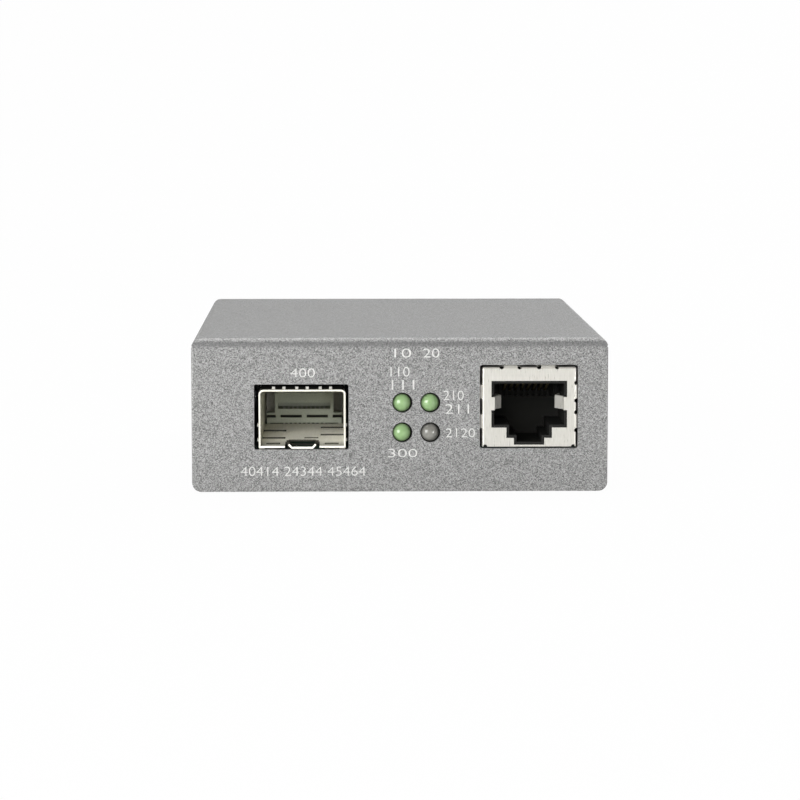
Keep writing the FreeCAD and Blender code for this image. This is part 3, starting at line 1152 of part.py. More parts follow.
def on_board(place, length, width, height, rise):
    """Package body standing on or just above the board."""
    return block(place.x - length / 2, place.x + length / 2, place.y - width / 2, place.y + width / 2,
                 BOARD_TOP + rise, BOARD_TOP + rise + height)


def make_line_transformer():
    """Moulded block of the line transformers, with a pin-one notch in one end."""
    body = on_board(V(TRANSFORMER_X, TRANSFORMER_Y, 0), TRANSFORMER_LENGTH, TRANSFORMER_WIDTH,
                    TRANSFORMER_HEIGHT, TRANSFORMER_RISE)
    end = V(TRANSFORMER_X - TRANSFORMER_LENGTH / 2, TRANSFORMER_Y,
            BOARD_TOP + TRANSFORMER_RISE + TRANSFORMER_HEIGHT)
    notch = rod(TRANSFORMER_NOTCH_RADIUS, end - V(0, 0, TRANSFORMER_NOTCH_DEPTH), end)
    return body.cut(notch)


def make_line_transformer_leads():
    """Two rows of leads."""
    leads = []
    for outward in (V(0, -1, 0), V(0, 1, 0)):
        for offset in spaced(TRANSFORMER_LEAD_COUNT, TRANSFORMER_LEAD_PITCH):
            root = V(TRANSFORMER_X + offset, TRANSFORMER_Y, 0) + outward * (TRANSFORMER_WIDTH / 2)
            leads.append(gull_lead(root, outward, TRANSFORMER_LEAD_WIDTH, BOARD_TOP + TRANSFORMER_LEAD_RISE,
                                   LARGE_LEAD_REACH, LARGE_LEAD_FOOT))
    return Part.makeCompound(leads)


def make_converter_chip():
    """Flat square package with a pin-one dot."""
    body = on_board(V(CHIP_X, CHIP_Y, 0), CHIP_SIDE, CHIP_SIDE, CHIP_HEIGHT, CHIP_RISE)
    corner = CHIP_DOT_INSET - CHIP_SIDE / 2
    top = V(CHIP_X + corner, CHIP_Y + corner, BOARD_TOP + CHIP_RISE + CHIP_HEIGHT)
    return body.cut(rod(CHIP_DOT_RADIUS, top - V(0, 0, CHIP_DOT_DEPTH), top))


def make_converter_chip_leads():
    """Leads on all four sides."""
    leads = []
    height = BOARD_TOP + CHIP_RISE + CHIP_HEIGHT / 2
    for turn in range(4):
        outward = FreeCAD.Rotation(V(0, 0, 1), 90 * turn).multVec(V(0, -1, 0))
        sideways = outward.cross(V(0, 0, 1))
        for offset in spaced(CHIP_LEAD_COUNT, CHIP_LEAD_PITCH):
            root = V(CHIP_X, CHIP_Y, 0) + outward * (CHIP_SIDE / 2) + sideways * offset
            leads.append(gull_lead(root, outward, CHIP_LEAD_WIDTH, height,
                                   SMALL_LEAD_REACH, SMALL_LEAD_REACH))
    return Part.makeCompound(leads)


def upright_stadium(middle, length, radius, low, high):
    """Upright solid with round ends between two levels."""
    ends = [rod(radius, middle + V(x, 0, low), middle + V(x, 0, high)) for x in (-length / 2, length / 2)]
    core = block(middle.x - length / 2, middle.x + length / 2, middle.y - radius, middle.y + radius,
                 low, high)
    return joined([core] + ends)


def make_crystal():
    """Drawn can with round ends on its sealing flange."""
    middle = V(CHIP_X, CRYSTAL_Y, 0)
    straight = CRYSTAL_LENGTH - CRYSTAL_WIDTH
    top = BOARD_TOP + CRYSTAL_HEIGHT
    flange = upright_stadium(middle, straight, CRYSTAL_WIDTH / 2, BOARD_TOP, BOARD_TOP + CRYSTAL_FLANGE)
    can = upright_stadium(middle, straight, CRYSTAL_WIDTH / 2 - CRYSTAL_FLANGE,
                          BOARD_TOP + CRYSTAL_FLANGE, top)
    can = rounded(can, CRYSTAL_FLANGE, lambda edge: edge.BoundBox.ZMin > top - CRYSTAL_FLANGE / 2)
    return joined([flange, can])


def make_power_inductor():
    """Shielded coil: square ferrite ring with cut corners and a round drum core in it."""
    middle = V(INDUCTOR_X, INDUCTOR_Y, 0)
    body = on_board(middle, INDUCTOR_SIDE, INDUCTOR_SIDE, INDUCTOR_HEIGHT, 0)
    body = body.makeChamfer(INDUCTOR_CORNER, [edge for edge in body.Edges if runs_along(edge, V(0, 0, 1))])
    top = middle + V(0, 0, BOARD_TOP + INDUCTOR_HEIGHT)
    floor = top - V(0, 0, INDUCTOR_GROOVE_DEPTH)
    groove = rod(INDUCTOR_DRUM_RADIUS + INDUCTOR_DRUM_GROOVE, floor, top).cut(
        rod(INDUCTOR_DRUM_RADIUS, floor, top))
    return body.cut(groove)


def make_capacitor(y):
    """Upright aluminium can with a crimp near its foot and a rounded shoulder."""
    place = V(CAPACITOR_X, y, 0)
    radius, crimp = CAPACITOR_RADIUS, CAPACITOR_CRIMP
    foot, top = BOARD_TOP, BOARD_TOP + CAPACITOR_HEIGHT
    groove = foot + CAPACITOR_CRIMP_RISE
    profile = [(0, foot), (radius, foot), (radius, groove), (radius - crimp, groove + crimp),
               (radius, groove + 2 * crimp), (radius, top), (0, top)]
    points = [place + V(x, 0, z) for x, z in profile]
    can = Part.Face(Part.makePolygon(points + points[:1])).revolve(place, V(0, 0, 1), 360)
    return rounded(can, crimp, lambda edge: edge.BoundBox.ZMin > top - crimp / 2
                   and edge.BoundBox.XLength > radius)


def make_voltage_regulator():
    """Flat package with chamfered long sides."""
    body = on_board(V(REGULATOR_X, REGULATOR_Y, 0), REGULATOR_LENGTH, REGULATOR_WIDTH,
                    REGULATOR_HEIGHT, CHIP_RISE)
    middle = BOARD_TOP + REGULATOR_HEIGHT / 2
    upper = [edge for edge in body.Edges if edge.BoundBox.ZMin > middle and runs_along(edge, V(1, 0, 0))]
    return body.makeChamfer(REGULATOR_CHAMFER, upper)


def make_regulator_leads():
    """Three leads on one side and the wide cooling tab on the other."""
    height = BOARD_TOP + REGULATOR_HEIGHT / 2
    middle = V(REGULATOR_X, REGULATOR_Y, 0)
    reach = V(0, REGULATOR_WIDTH / 2, 0)
    leads = [gull_lead(middle + V(offset, 0, 0) - reach, V(0, -1, 0), REGULATOR_LEAD_WIDTH, height,
                       LARGE_LEAD_REACH, LARGE_LEAD_FOOT)
             for offset in spaced(REGULATOR_LEAD_COUNT, REGULATOR_LEAD_PITCH)]
    leads.append(gull_lead(middle + reach, V(0, 1, 0), REGULATOR_TAB_WIDTH, height,
                           LARGE_LEAD_REACH, LARGE_LEAD_FOOT))
    return Part.makeCompound(leads)


def make_chip_parts():
    """Small chip resistors and capacitors in rows beside the chip and the regulator."""
    rows = [V(CHIP_X, CHIP_Y + CHIP_SIDE / 2 + CHIP_PART_ROW_GAP, 0),
            V(REGULATOR_X, REGULATOR_Y - CHIP_PART_ROW_GAP, 0),
            V(REGULATOR_X, REGULATOR_Y + CHIP_PART_ROW_GAP, 0)]
    return Part.makeCompound(
        [on_board(row + V(offset, 0, 0), CHIP_PART_LENGTH, CHIP_PART_WIDTH, CHIP_PART_HEIGHT, 0)
         for row in rows for offset in spaced(CHIP_PART_COUNT, CHIP_PART_PITCH)])


def make_nodes():
    """Every sub-part by name."""
    nodes = {
        "lid": make_lid(),
        "tray": make_tray(),
        "case_screws": make_case_screws(),
        "standoffs": make_standoffs(),
        "circuit_board": make_board(),
        "board_screws": make_board_screws(),
        "sfp_cage": make_sfp_cage(),
        "sfp_cage_floor": make_sfp_cage_floor(),
        "sfp_ground_springs": make_sfp_ground_springs(),
        "sfp_connector": make_sfp_connector(),
        "sfp_connector_contacts": make_sfp_connector_contacts(),
        "rj45_shield": make_rj45_shield(),
        "rj45_housing": make_rj45_housing(),
        "rj45_insert": make_rj45_insert(),
        "rj45_contacts": make_rj45_contacts(),
        "lamp_holder": make_lamp_holder(),
        "lamp_leads": make_lamp_leads(),
        "inlet_body": make_inlet_body(),
        "inlet_pin": make_inlet_pin(),
        "inlet_spring": make_inlet_spring(),
        "inlet_switch": make_inlet_switch(),
        "line_transformer": make_line_transformer(),
        "line_transformer_leads": make_line_transformer_leads(),
        "converter_chip": make_converter_chip(),
        "converter_chip_leads": make_converter_chip_leads(),
        "crystal": make_crystal(),
        "power_inductor": make_power_inductor(),
        "input_capacitor": make_capacitor(INPUT_CAPACITOR_Y),
        "output_capacitor": make_capacitor(INDUCTOR_Y),
        "voltage_regulator": make_voltage_regulator(),
        "regulator_leads": make_regulator_leads(),
        "chip_parts": make_chip_parts(),
    }
    names = (("lamp_lower_left", "lamp_upper_left"), ("lamp_lower_right", "lamp_upper_right"))
    for column in (0, 1):
        for row in (0, 1):
            nodes[names[column][row]] = make_lamp(column, row)
    return nodes


os.makedirs("parts", exist_ok=True)
for name, shape in make_nodes().items():
    shape.exportStep("parts/" + name + ".step")
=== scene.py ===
import json
import math

import bpy
import numpy as np
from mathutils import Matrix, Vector


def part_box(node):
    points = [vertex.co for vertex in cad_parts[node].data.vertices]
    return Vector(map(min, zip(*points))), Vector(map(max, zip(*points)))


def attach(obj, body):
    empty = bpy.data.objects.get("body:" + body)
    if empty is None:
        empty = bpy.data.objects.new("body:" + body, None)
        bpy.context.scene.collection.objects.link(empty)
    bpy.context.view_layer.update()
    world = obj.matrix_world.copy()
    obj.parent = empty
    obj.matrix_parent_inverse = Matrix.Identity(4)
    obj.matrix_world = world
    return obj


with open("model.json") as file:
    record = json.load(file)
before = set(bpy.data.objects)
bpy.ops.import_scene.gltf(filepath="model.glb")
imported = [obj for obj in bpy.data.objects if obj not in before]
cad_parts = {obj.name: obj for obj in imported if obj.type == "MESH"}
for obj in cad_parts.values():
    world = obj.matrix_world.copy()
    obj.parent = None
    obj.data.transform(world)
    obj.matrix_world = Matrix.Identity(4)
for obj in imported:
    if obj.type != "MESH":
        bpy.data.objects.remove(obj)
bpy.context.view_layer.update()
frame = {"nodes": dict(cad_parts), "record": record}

# Fibre media converter on a white table: a grey painted case with a module cage, four lamps and a
# shielded network jack on its front. Metres, +Z up, front towards -Y.

MM = 0.001
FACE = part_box("lid")[0][1]          # front face of the lid
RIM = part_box("sfp_cage")[0][1]      # front edge of the cage
CAGE_MIDDLE = (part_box("sfp_cage")[0][0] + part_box("sfp_cage")[1][0]) / 2
CAGE_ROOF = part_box("sfp_cage")[1][2] - 0.15 * MM    # halfway into the roof's sheet
MOUTH_SHADE_REACH = 8 * MM                 # the bay's painted shade reaches this far behind the rim
INK = 0.005 * MM                    # thickness of the printed ink
THINNED = -0.012                    # thins the strokes of the numbers, as a share of their size
GRAIN = 0.5                         # a noise of scale 1 has grains about this wide


# Colours, nodes and finishes

def colour(code):
    """Linear colour with full alpha from an sRGB hex code such as 9c9c9a."""
    levels = [int(code[i:i + 2], 16) / 255 for i in (0, 2, 4)]
    return tuple(v / 12.92 if v <= 0.04045 else ((v + 0.055) / 1.055) ** 2.4 for v in levels) + (1.0,)


def add(tree, kind, settings=None, sockets=None):
    """Add a node of a kind, with its settings, and set or link its input sockets by name or number. The
    two colours of a colour Mix are its sockets 6 and 7, and its share is socket 0."""
    made = tree.nodes.new("ShaderNode" + kind)
    for name, value in (settings or {}).items():
        setattr(made, name, value)
    for name, value in (sockets or {}).items():
        if isinstance(value, bpy.types.NodeSocket):
            tree.links.new(value, made.inputs[name])
        else:
            made.inputs[name].default_value = value
    return made


def material(name):
    """New empty material and its node tree."""
    made = bpy.data.materials.new(name)
    made.use_nodes = True
    made.node_tree.nodes.clear()
    return made, made.node_tree


def grained(name, dark, light, roughness, size, depth, stretch=(1, 1, 1), **sockets):
    """Finish whose grain of a real size, drawn out along an axis by the stretch, shifts its colour from
    dark to light, its roughness by a tenth either way, and its surface by the depth."""
    made, tree = material(name)
    where = add(tree, "TexCoord")
    drawn = add(tree, "Mapping", {}, {"Vector": where.outputs["Object"], "Scale": stretch})
    noise = add(tree, "TexNoise", {}, {"Vector": drawn.outputs[0], "Scale": GRAIN / size, "Detail": 2.0,
                                       "Roughness": 0.6})
    level = add(tree, "MapRange", {}, {"Value": noise.outputs["Fac"], "From Min": 0.3, "From Max": 0.7})
    tint = add(tree, "Mix", {"data_type": "RGBA"}, {0: level.outputs[0], 6: colour(dark),
                                                    7: colour(light)})
    rough = add(tree, "MapRange", {}, {"Value": level.outputs[0], "To Min": roughness * 0.9,
                                       "To Max": roughness * 1.1})
    bump = add(tree, "Bump", {}, {"Height": noise.outputs["Fac"], "Distance": depth})
    shader = add(tree, "BsdfPrincipled", {}, {"Base Color": tint.outputs[2], "Roughness": rough.outputs[0],
                                              "Normal": bump.outputs[0], **sockets})
    add(tree, "OutputMaterial", {}, {"Surface": shader.outputs[0]})
    return made


def powder_coat():
    """Silver-grey powder coat: fine flakes, each of its own grey, under a satin skin with a soft peel,
    so the front looks speckled; the lower half of the top's folds is tinted darker, a painted shade for
    the dark reflection there. The flakes are drawn coarser than real ones, so that they show."""
    flake, peel_width, peel_depth = 0.14 * MM, 0.5 * MM, 0.004 * MM
    fold_start, fold_full, fold_fading, fold_end = 0.03, 0.2, 0.5, 0.65    # upward share of the normal
    fold_shade_share = 0.6
    made, tree = material("silver grey powder coat")
    where = add(tree, "TexCoord")
    flakes = add(tree, "TexVoronoi", {}, {"Vector": where.outputs["Object"], "Scale": 1 / flake})
    grey = add(tree, "SeparateColor", {}, {"Color": flakes.outputs["Color"]})
    tilt = add(tree, "SeparateXYZ", {}, {"Vector": where.outputs["Normal"]})
    near = add(tree, "MapRange", {}, {"Value": tilt.outputs["Z"], "From Min": fold_start,
                                      "From Max": fold_full})
    past = add(tree, "MapRange", {}, {"Value": tilt.outputs["Z"], "From Min": fold_fading,
                                      "From Max": fold_end, "To Min": 1.0, "To Max": 0.0})
    fold = add(tree, "Math", {"operation": "MULTIPLY"}, {0: near.outputs[0], 1: past.outputs[0]})
    tint = add(tree, "Mix", {"data_type": "RGBA"}, {0: grey.outputs[0], 6: colour("484847"),
                                                    7: colour("999998")})
    # painted shade: the lower half of each fold is tinted towards dark grey
    painted_fold_shade = add(tree, "Math", {"operation": "MULTIPLY"}, {0: fold.outputs[0], 1: fold_shade_share})
    tint = add(tree, "Mix", {"data_type": "RGBA"}, {0: painted_fold_shade.outputs[0], 6: tint.outputs[2],
                                                    7: colour("585858")})
    peel = add(tree, "TexNoise", {}, {"Vector": where.outputs["Object"], "Scale": GRAIN / peel_width})
    bump = add(tree, "Bump", {}, {"Height": peel.outputs["Fac"], "Distance": peel_depth})
    shader = add(tree, "BsdfPrincipled", {}, {
        "Base Color": tint.outputs[2], "Metallic": 0.2, "Roughness": 0.5, "Coat Weight": 0.3,
        "Coat Roughness": 0.25, "Normal": bump.outputs[0], "Coat Normal": bump.outputs[0]})
    add(tree, "OutputMaterial", {}, {"Surface": shader.outputs[0]})
    return made


def solder_mask():
    """Green solder mask over copper: lighter tracks where the copper lies under a glossy skin."""
    made, tree = material("green solder mask")
    where = add(tree, "TexCoord")
    tracks = add(tree, "TexBrick", {"offset": 0.37}, {
        "Vector": where.outputs["Object"], "Color1": colour("1b2a22"), "Color2": colour("1b2a22"),
        "Mortar": colour("27402f"), "Scale": 1.0, "Mortar Size": 0.15 * MM,
        "Brick Width": 6.5 * MM, "Row Height": 1.27 * MM})
    shader = add(tree, "BsdfPrincipled", {}, {"Base Color": tracks.outputs["Color"], "Roughness": 0.35,
                                              "Coat Weight": 0.4, "Coat Roughness": 0.2})
    add(tree, "OutputMaterial", {}, {"Surface": shader.outputs[0]})
    return made


def metal(name, dark, light, roughness, stretch, width, bright=1.0):
    """Bare or plated sheet whose streaks run the way it was rolled or drawn, as wide as they need to be
    to show; a brightness under one leaves a share of it dull, as a skin of oxide and handling does."""
    return grained(name, dark, light, roughness, width, 0.001 * MM, stretch, Metallic=bright)


def streaked(tree, where, dark, light):
    """Colour that runs from dark to light in streaks along the cage, as sheet is rolled. They are drawn
    wider than real ones, so that they show."""
    width, drawn_out = 0.12 * MM, (1, 0.06, 1)
    drawn = add(tree, "Mapping", {}, {"Vector": where.outputs["Object"], "Scale": drawn_out})
    noise = add(tree, "TexNoise", {}, {"Vector": drawn.outputs[0], "Scale": GRAIN / width})
    level = add(tree, "MapRange", {}, {"Value": noise.outputs["Fac"], "From Min": 0.3, "From Max": 0.7})
    return add(tree, "Mix", {"data_type": "RGBA"}, {0: level.outputs[0], 6: colour(dark),
                                                    7: colour(light)}).outputs[2]


def mouth_shaded(tree, place, skin, mouth_shade):
    """Colour with a painted shade: a darker tone just behind the bright cut rim, fading to the bare
    skin further in."""
    cut_rim = RIM + 0.05 * MM
    inward = add(tree, "MapRange", {}, {"Value": place.outputs["Y"], "From Min": RIM,
                                        "From Max": RIM + MOUTH_SHADE_REACH})
    edge = add(tree, "Math", {"operation": "LESS_THAN"}, {0: place.outputs["Y"], 1: cut_rim})
    share = add(tree, "Math", {"operation": "MAXIMUM"}, {0: inward.outputs[0], 1: edge.outputs[0]})
    return add(tree, "Mix", {"data_type": "RGBA"}, {0: share.outputs[0], 6: colour(mouth_shade),
                                                    7: skin}).outputs[2]


def cage_sheet():
    """Nickel silver of the cage: satin, pale warm grey, mostly dulled by oxide and handling, with a
    painted shade just inside the mouth; its outside, behind the bright cut rim, is tinted dark and rough
    as painted shade, so the gap round the mouth stays dark."""
    cut_rim = RIM + 0.02 * MM
    made, tree = material("stamped nickel silver")
    where = add(tree, "TexCoord")
    place = add(tree, "SeparateXYZ", {}, {"Vector": where.outputs["Object"]})
    # painted shade: darker just inside the mouth
    skin = mouth_shaded(tree, place, streaked(tree, where, "d0cebf", "e2e0d2"), "7d7b70")
    # painted shade: the outside of the roof behind the rim is tinted near black and made rough
    outside = add(tree, "Math", {"operation": "GREATER_THAN"}, {0: place.outputs["Z"], 1: CAGE_ROOF})
    behind = add(tree, "Math", {"operation": "GREATER_THAN"}, {0: place.outputs["Y"], 1: cut_rim})
    dull = add(tree, "Math", {"operation": "MULTIPLY"}, {0: outside.outputs[0], 1: behind.outputs[0]})
    tint = add(tree, "Mix", {"data_type": "RGBA"}, {0: dull.outputs[0], 6: skin, 7: colour("35342f")})
    rough = add(tree, "MapRange", {}, {"Value": dull.outputs[0], "To Min": 0.38, "To Max": 0.8})
    shader = add(tree, "BsdfPrincipled", {}, {"Base Color": tint.outputs[2], "Roughness": rough.outputs[0],
                                              "Metallic": 0.15})
    add(tree, "OutputMaterial", {}, {"Surface": shader.outputs[0]})
    return made


def floor_sheet():
    """Nickel silver of the cage's floor, its matt rolled side up, scarcely mirroring, tinted paler than
    the cage's other walls as painted light, and darker just inside the mouth as painted shade; the edges
    deep in the floor that face the mouth are tinted dark as painted shade, so each window reads as a dark
    line, and so is the latch tongue behind its bright lip."""
    edge_shade_from, towards_mouth = RIM + 0.8 * MM, -0.9     # and the Y of the normal of an edge that faces the mouth
    tongue_half_width, tongue_middle, tongue_half_run = 2.75 * MM, RIM + 4.3 * MM, 4 * MM
    made, tree = material("matt nickel silver")
    where = add(tree, "TexCoord")
    place = add(tree, "SeparateXYZ", {}, {"Vector": where.outputs["Object"]})
    # painted shade: darker just inside the mouth
    skin = mouth_shaded(tree, place, streaked(tree, where, "eceadf", "f6f4ea"), "a9a79a")
    facing = add(tree, "SeparateXYZ", {}, {"Vector": where.outputs["Normal"]})
    # painted shade: edges deep in the floor that face the mouth, and the latch tongue, are tinted dark
    deep = add(tree, "Math", {"operation": "GREATER_THAN"}, {0: place.outputs["Y"], 1: edge_shade_from})
    mouthward = add(tree, "Math", {"operation": "LESS_THAN"}, {0: facing.outputs["Y"], 1: towards_mouth})
    edge_shade = add(tree, "Math", {"operation": "MULTIPLY"}, {0: deep.outputs[0], 1: mouthward.outputs[0]})
    inner = add(tree, "Math", {"operation": "COMPARE"}, {0: place.outputs["X"], 1: CAGE_MIDDLE,
                                                         2: tongue_half_width})
    near = add(tree, "Math", {"operation": "COMPARE"}, {0: place.outputs["Y"], 1: tongue_middle,
                                                        2: tongue_half_run})
    tongue = add(tree, "Math", {"operation": "MULTIPLY"}, {0: inner.outputs[0], 1: near.outputs[0]})
    dark = add(tree, "Math", {"operation": "MAXIMUM"}, {0: edge_shade.outputs[0], 1: tongue.outputs[0]})
    tint = add(tree, "Mix", {"data_type": "RGBA"}, {0: dark.outputs[0], 6: skin, 7: colour("4a4942")})
    shader = add(tree, "BsdfPrincipled", {}, {"Base Color": tint.outputs[2], "Roughness": 0.9,
                                              "Specular IOR Level": 0.0})
    add(tree, "OutputMaterial", {}, {"Surface": shader.outputs[0]})
    return made


def spring_plate():
    """Tinned spring bronze: plain bright tin at the fingertips; behind them it is tinted dark and rough, a
    painted shade for the gap it sits in.
    """
    tips_end, finger_shade_from = RIM + 0.9 * MM, RIM + 1.3 * MM
    made, tree = material("tinned spring bronze")
    where = add(tree, "TexCoord")
    place = add(tree, "SeparateXYZ", {}, {"Vector": where.outputs["Object"]})
    skin = streaked(tree, where, "c9c7bf", "e6e4dc")
    # painted shade: the fingers behind their tips are tinted near black
    finger_shade = add(tree, "MapRange", {}, {"Value": place.outputs["Y"], "From Min": tips_end,
                                      "From Max": finger_shade_from})
    tint = add(tree, "Mix", {"data_type": "RGBA"}, {0: finger_shade.outputs[0], 6: skin, 7: colour("2c2b27")})
    rough = add(tree, "MapRange", {}, {"Value": finger_shade.outputs[0], "To Min": 0.35, "To Max": 0.8})
    shader = add(tree, "BsdfPrincipled", {}, {"Base Color": tint.outputs[2], "Roughness": rough.outputs[0],
                                              "Metallic": 0.5})
    add(tree, "OutputMaterial", {}, {"Surface": shader.outputs[0]})
    return made


def moulded(name, dark, light, roughness, size=0.12 * MM, depth=0.004 * MM, shine=0.5):
    """Plastic, epoxy or ceramic with the fine even texture of its mould."""
    return grained(name, dark, light, roughness, size, depth, **{"Specular IOR Level": shine})


def connector_body():
    """Grey green liquid crystal polymer, matt, and tinted darker in the pockets low in the connector as
    painted shade.
    """
    front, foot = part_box("sfp_connector")[0][1:]
    pocket_start, pocket_top = front + 0.1 * MM, foot + 1.9 * MM
    made, tree = material("grey green liquid crystal polymer")
    where = add(tree, "TexCoord")
    skin = streaked(tree, where, "adb1a1", "babeae")
    place = add(tree, "SeparateXYZ", {}, {"Vector": where.outputs["Object"]})
    # painted shade: the pockets low in the connector are tinted dark
    deep = add(tree, "Math", {"operation": "GREATER_THAN"}, {0: place.outputs["Y"], 1: pocket_start})
    low = add(tree, "Math", {"operation": "LESS_THAN"}, {0: place.outputs["Z"], 1: pocket_top})
    pocket_shade = add(tree, "Math", {"operation": "MULTIPLY"}, {0: deep.outputs[0], 1: low.outputs[0]})
    tint = add(tree, "Mix", {"data_type": "RGBA"}, {0: pocket_shade.outputs[0], 6: skin, 7: colour("46463f")})
    shader = add(tree, "BsdfPrincipled", {}, {"Base Color": tint.outputs[2], "Roughness": 0.7,
                                              "Specular IOR Level": 0.2})
    add(tree, "OutputMaterial", {}, {"Surface": shader.outputs[0]})
    return made


def epoxy(name, dark, light):
    """Lamp body: milky cast epoxy that light soaks into, with a glossy skin for its highlights."""
    return grained(name, dark, light, 0.09, 0.9 * MM, 0.0, IOR=1.5,
                   **{"Subsurface Weight": 0.35, "Subsurface Radius": (1, 1, 1),
                      "Subsurface Scale": 0.8 * MM})


def dress():
    """Give every node the finish of its material slot, the cage's floor a paler one as painted light, and
    the contacts of the module's connector tin instead of gold."""
    finishes = {
        # speckled satin grey
        "case_paint": powder_coat(),
        # bluish bright plating, on screws and standoffs
        "zinc_plate": metal("bright zinc plate", "b4b7b9", "d3d6d8", 0.3, (1, 1, 1), 0.5 * MM),
        # pale and satin inside, with a bright rim, and painted shade at the mouth and outside
        "cage_nickel_silver": cage_sheet(),
        # bright fingertips, with painted shade behind them in the gap
        "spring_plate": spring_plate(),
        # pale, softly brushed upright
        "tinned_sheet": metal("rolled tinplate", "bcbab2", "cac8c1", 0.3, (1, 1, 0.12), 0.1 * MM, 0.4),
        # smooth drawn wire
        "tinned_wire": metal("tinned copper", "c2c2bd", "dcdcd7", 0.3, (1, 1, 0.2), 0.15 * MM),
        # gold flash, its colour darkened as painted shade for the dark roof of the jack's cavity
        "contact_gold": metal("gold flash on bronze", "6f6449", "877a5a", 0.5, (1, 0.2, 1), 0.15 * MM),
        # softly shining can with fine drawing lines
        "can_metal": metal("drawn nickel plated can", "bdbdb9", "d6d6d2", 0.3, (0.1, 1, 1), 0.2 * MM),
        # pale can with fine upright lines
        "can_aluminium": metal("drawn aluminium", "c9cacc", "e0e1e3", 0.32, (1, 1, 0.1), 0.2 * MM),
        # matt grey green, lighter than the shade it sits in
        "connector_plastic": connector_body(),
        # near black with a faint sheen
        "black_plastic": moulded("black moulded nylon", "111110", "171715", 0.65, shine=0.2),
        # matt charcoal
        "package_black": moulded("black moulded epoxy", "1b1b1d", "242426", 0.6),
        # rough and sooty
        "ferrite": moulded("pressed ferrite", "2a2a2c", "363638", 0.7, 0.2 * MM, 0.01 * MM),
        # warm brown and dry
        "chip_ceramic": moulded("fired ceramic", "6f6152", "87786a", 0.6),
        # dark green with paler tracks
        "board_green": solder_mask(),
        # milky green and milky grey, both with sharp highlights
        "lamp_green": epoxy("green diffused epoxy", "7a9768", "88a476"),
        "lamp_unlit": epoxy("grey diffused epoxy", "73726c", "7f7e79"),
    }
    for part in frame["record"]["subparts"]:
        piece = frame["nodes"][part["node"]]
        piece.data.materials.clear()
        piece.data.materials.append(finishes[part["material_slot"]])
    # painted light: the floor gets a paler copy of the cage's nickel silver
    frame["nodes"]["sfp_cage_floor"].data.materials[0] = floor_sheet()
    frame["nodes"]["sfp_connector_contacts"].data.materials[0] = finishes["tinned_wire"]


# Legends

def printed(text, left, right, low, high, ink):
    """Flat plain number on the front face that fills the place between two sides and two levels, in
    millimetres: each point keeps its share of the letters' own width, height and thickness."""
    name = "number_" + text.replace(" ", "_")
    curve = bpy.data.curves.new(name, "FONT")
    curve.body = text
    curve.extrude = INK / 2
    curve.offset = THINNED
    letters = bpy.data.objects.new(name, curve)
    bpy.context.scene.collection.objects.link(letters)
    mesh = bpy.data.meshes.new_from_object(letters.evaluated_get(bpy.context.evaluated_depsgraph_get()))
    bpy.data.objects.remove(letters)
    points = np.empty(len(mesh.vertices) * 3)
    mesh.vertices.foreach_get("co", points)
    points = points.reshape(-1, 3)
    start, end = points.min(0), points.max(0)
    share = (points - start) / (end - start)
    placed = np.stack([(left + share[:, 0] * (right - left)) * MM, FACE - INK * (0.5 + share[:, 2]),
                       (low + share[:, 1] * (high - low)) * MM], 1)
    mesh.vertices.foreach_set("co", placed.ravel())
    mesh.update()
    mesh.materials.clear()
    mesh.materials.append(ink)
    piece = bpy.data.objects.new(name, mesh)
    bpy.context.scene.collection.objects.link(piece)
    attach(piece, "root")


def legends():
    """Plain numbers in dull white ink: over the columns of lamps, beside and under the lamps, and over
    and under the cage. Each row is a text, its left and right side, and its lower and upper level."""
    ink = grained("white printing ink", "aeaeab", "c8c8c5", 0.6, 0.25 * MM, 0.0)
    for text, left, right, low, high in (
            ("10", -0.95, 1.85, 22.7, 24.2), ("20", 3.9, 6.6, 22.7, 24.2),
            ("110", -1.6, 1.6, 19.5, 21.1), ("111", -1.4, 2.4, 17.3, 18.9),
            ("210", 7.3, 10.7, 15.5, 17.1), ("211", 7.6, 11.6, 13.2, 14.8),
            ("2120", 7.7, 12.6, 9.2, 10.7), ("300", -2.0, 2.9, 5.85, 7.25),
            ("400", -18.4, -14.3, 19.4, 20.9), ("40414 24344 45464", -26.8, -5.8, 2.75, 4.3)):
        printed(text, left, right, low, high, ink)


# Place, light and camera

def seen_white(tree, lit, share):
    """Shader that is white by a share where the lens sees it, and the lit one for everything else."""
    path = add(tree, "LightPath")
    share = add(tree, "Math", {"operation": "MULTIPLY"}, {0: path.outputs["Is Camera Ray"], 1: share})
    white = add(tree, "Emission", {}, {"Color": (1, 1, 1, 1), "Strength": 1.0})
    return add(tree, "MixShader", {}, {0: share.outputs[0], 1: lit, 2: white.outputs[0]}).outputs[0]


def table():
    """White table and backdrop in one sheet, matt paper that keeps a faint shadow: its side view is
    level, then a quarter round, then upright, and is carried along X from one side to the other."""
    reach, start, bend, top, steps = 1.6, 0.5, 0.5, 1.4, 24
    made, tree = material("white paper sweep")
    paper = add(tree, "BsdfPrincipled", {}, {"Base Color": colour("cacaca"), "Roughness": 0.9})
    add(tree, "OutputMaterial", {}, {"Surface": seen_white(tree, paper.outputs[0], 0.975)})
    turn = np.linspace(0, math.pi / 2, steps)
    y = np.concatenate([[-reach], start + bend * np.sin(turn), [start + bend]])
    z = np.concatenate([[0], bend * (1 - np.cos(turn)), [top]])
    points = np.empty((len(y), 2, 3))
    points[:, :, 0] = (-reach, reach)
    points[:, :, 1] = y[:, None]
    points[:, :, 2] = z[:, None]
    near = 2 * np.arange(len(y) - 1)
    faces = np.stack([near, near + 1, near + 3, near + 2], 1)
    mesh = bpy.data.meshes.new("paper_sweep")
    mesh.from_pydata(points.reshape(-1, 3).tolist(), [], faces.tolist())
    mesh.materials.append(made)
    sweep = bpy.data.objects.new("paper_sweep", mesh)
    bpy.context.scene.collection.objects.link(sweep)


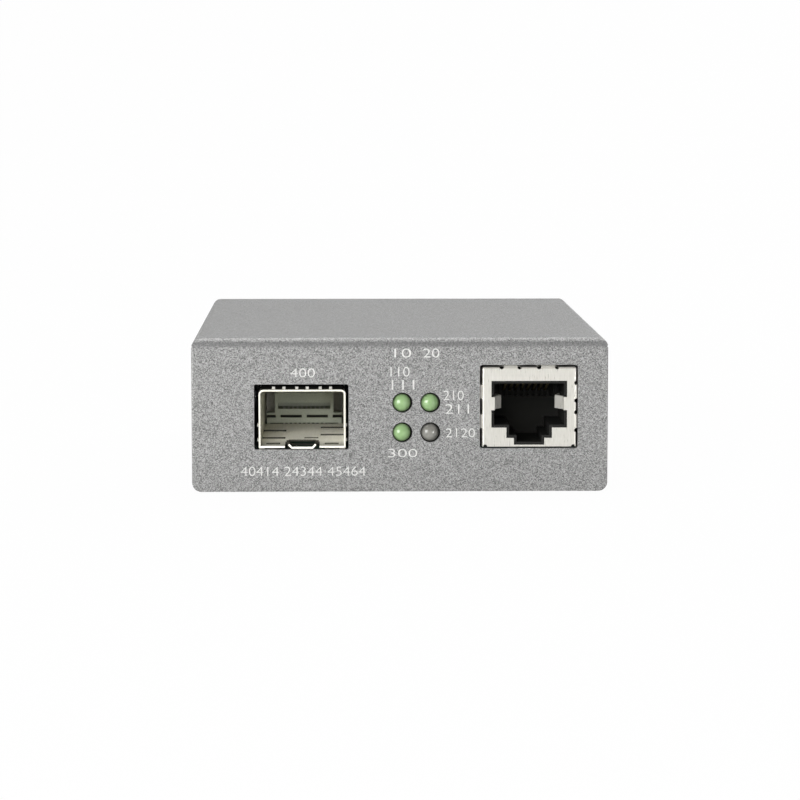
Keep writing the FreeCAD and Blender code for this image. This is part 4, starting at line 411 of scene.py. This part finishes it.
def room():
    """White room that gives a plain soft light from all round."""
    light = 0.13
    world = bpy.data.worlds.new("white room")
    world.use_nodes = True
    tree = world.node_tree
    tree.nodes.clear()
    soft = add(tree, "Background", {}, {"Color": (1, 1, 1, 1), "Strength": light})
    add(tree, "OutputWorld", {}, {"Surface": seen_white(tree, soft.outputs[0], 1.0)})
    bpy.context.scene.world = world


def softbox(name, where, size, power, matt, glossy):
    """Square area lamp that faces the object, and lights matt surfaces, glossy ones or both."""
    lamp = bpy.data.lights.new(name, "AREA")
    lamp.size = size
    lamp.energy = power
    holder = bpy.data.objects.new(name, lamp)
    holder.location = where
    holder.rotation_euler = (-Vector(where)).to_track_quat("-Z", "Y").to_euler()
    holder.visible_diffuse = matt
    holder.visible_glossy = glossy
    bpy.context.scene.collection.objects.link(holder)


def lights():
    """Soft lamps: two for the matt front and the bay, three for the whole object from the left, above
    and behind, and two that only give metal and the lamps' domes something bright to mirror."""
    for name, where, size, power, matt, glossy in (
            ("front", (-0.15, -0.8, 0.24), 0.25, 5.05, True, False),
            ("low_front", (0.02, -0.7, 0.08), 0.1, 0.65, True, False),
            ("left_front", (-0.62, -0.62, 0.2), 0.45, 5.0, True, True),
            ("overhead", (0.0, 0.3, 0.85), 0.8, 6.8, True, True),
            ("right_rear", (0.65, 0.7, 0.5), 0.4, 3.0, True, True),
            ("left_catch", (-0.62, -0.62, 0.14), 0.8, 11.0, False, True),
            ("right_catch", (0.6, -0.62, 0.08), 0.15, 4.2, False, True)):
        softbox(name, where, size, power, matt, glossy)


def camera():
    """Long lens a little left of the middle and above the case, turned slightly right and down."""
    down, right = 6.021, 1.26       # degrees
    lens = bpy.data.cameras.new("camera")
    lens.sensor_width = 36
    lens.lens = 135.3
    lens.clip_start = 0.05
    eye = bpy.data.objects.new("camera", lens)
    eye.location = (-11.05 * MM, -548.84 * MM, 68.51 * MM)
    eye.rotation_euler = (math.radians(90 - down), 0, math.radians(-right))
    bpy.context.scene.collection.objects.link(eye)
    bpy.context.scene.camera = eye


dress()
legends()
table()
room()
lights()
camera()

bpy.context.scene.view_settings.view_transform = "Standard"
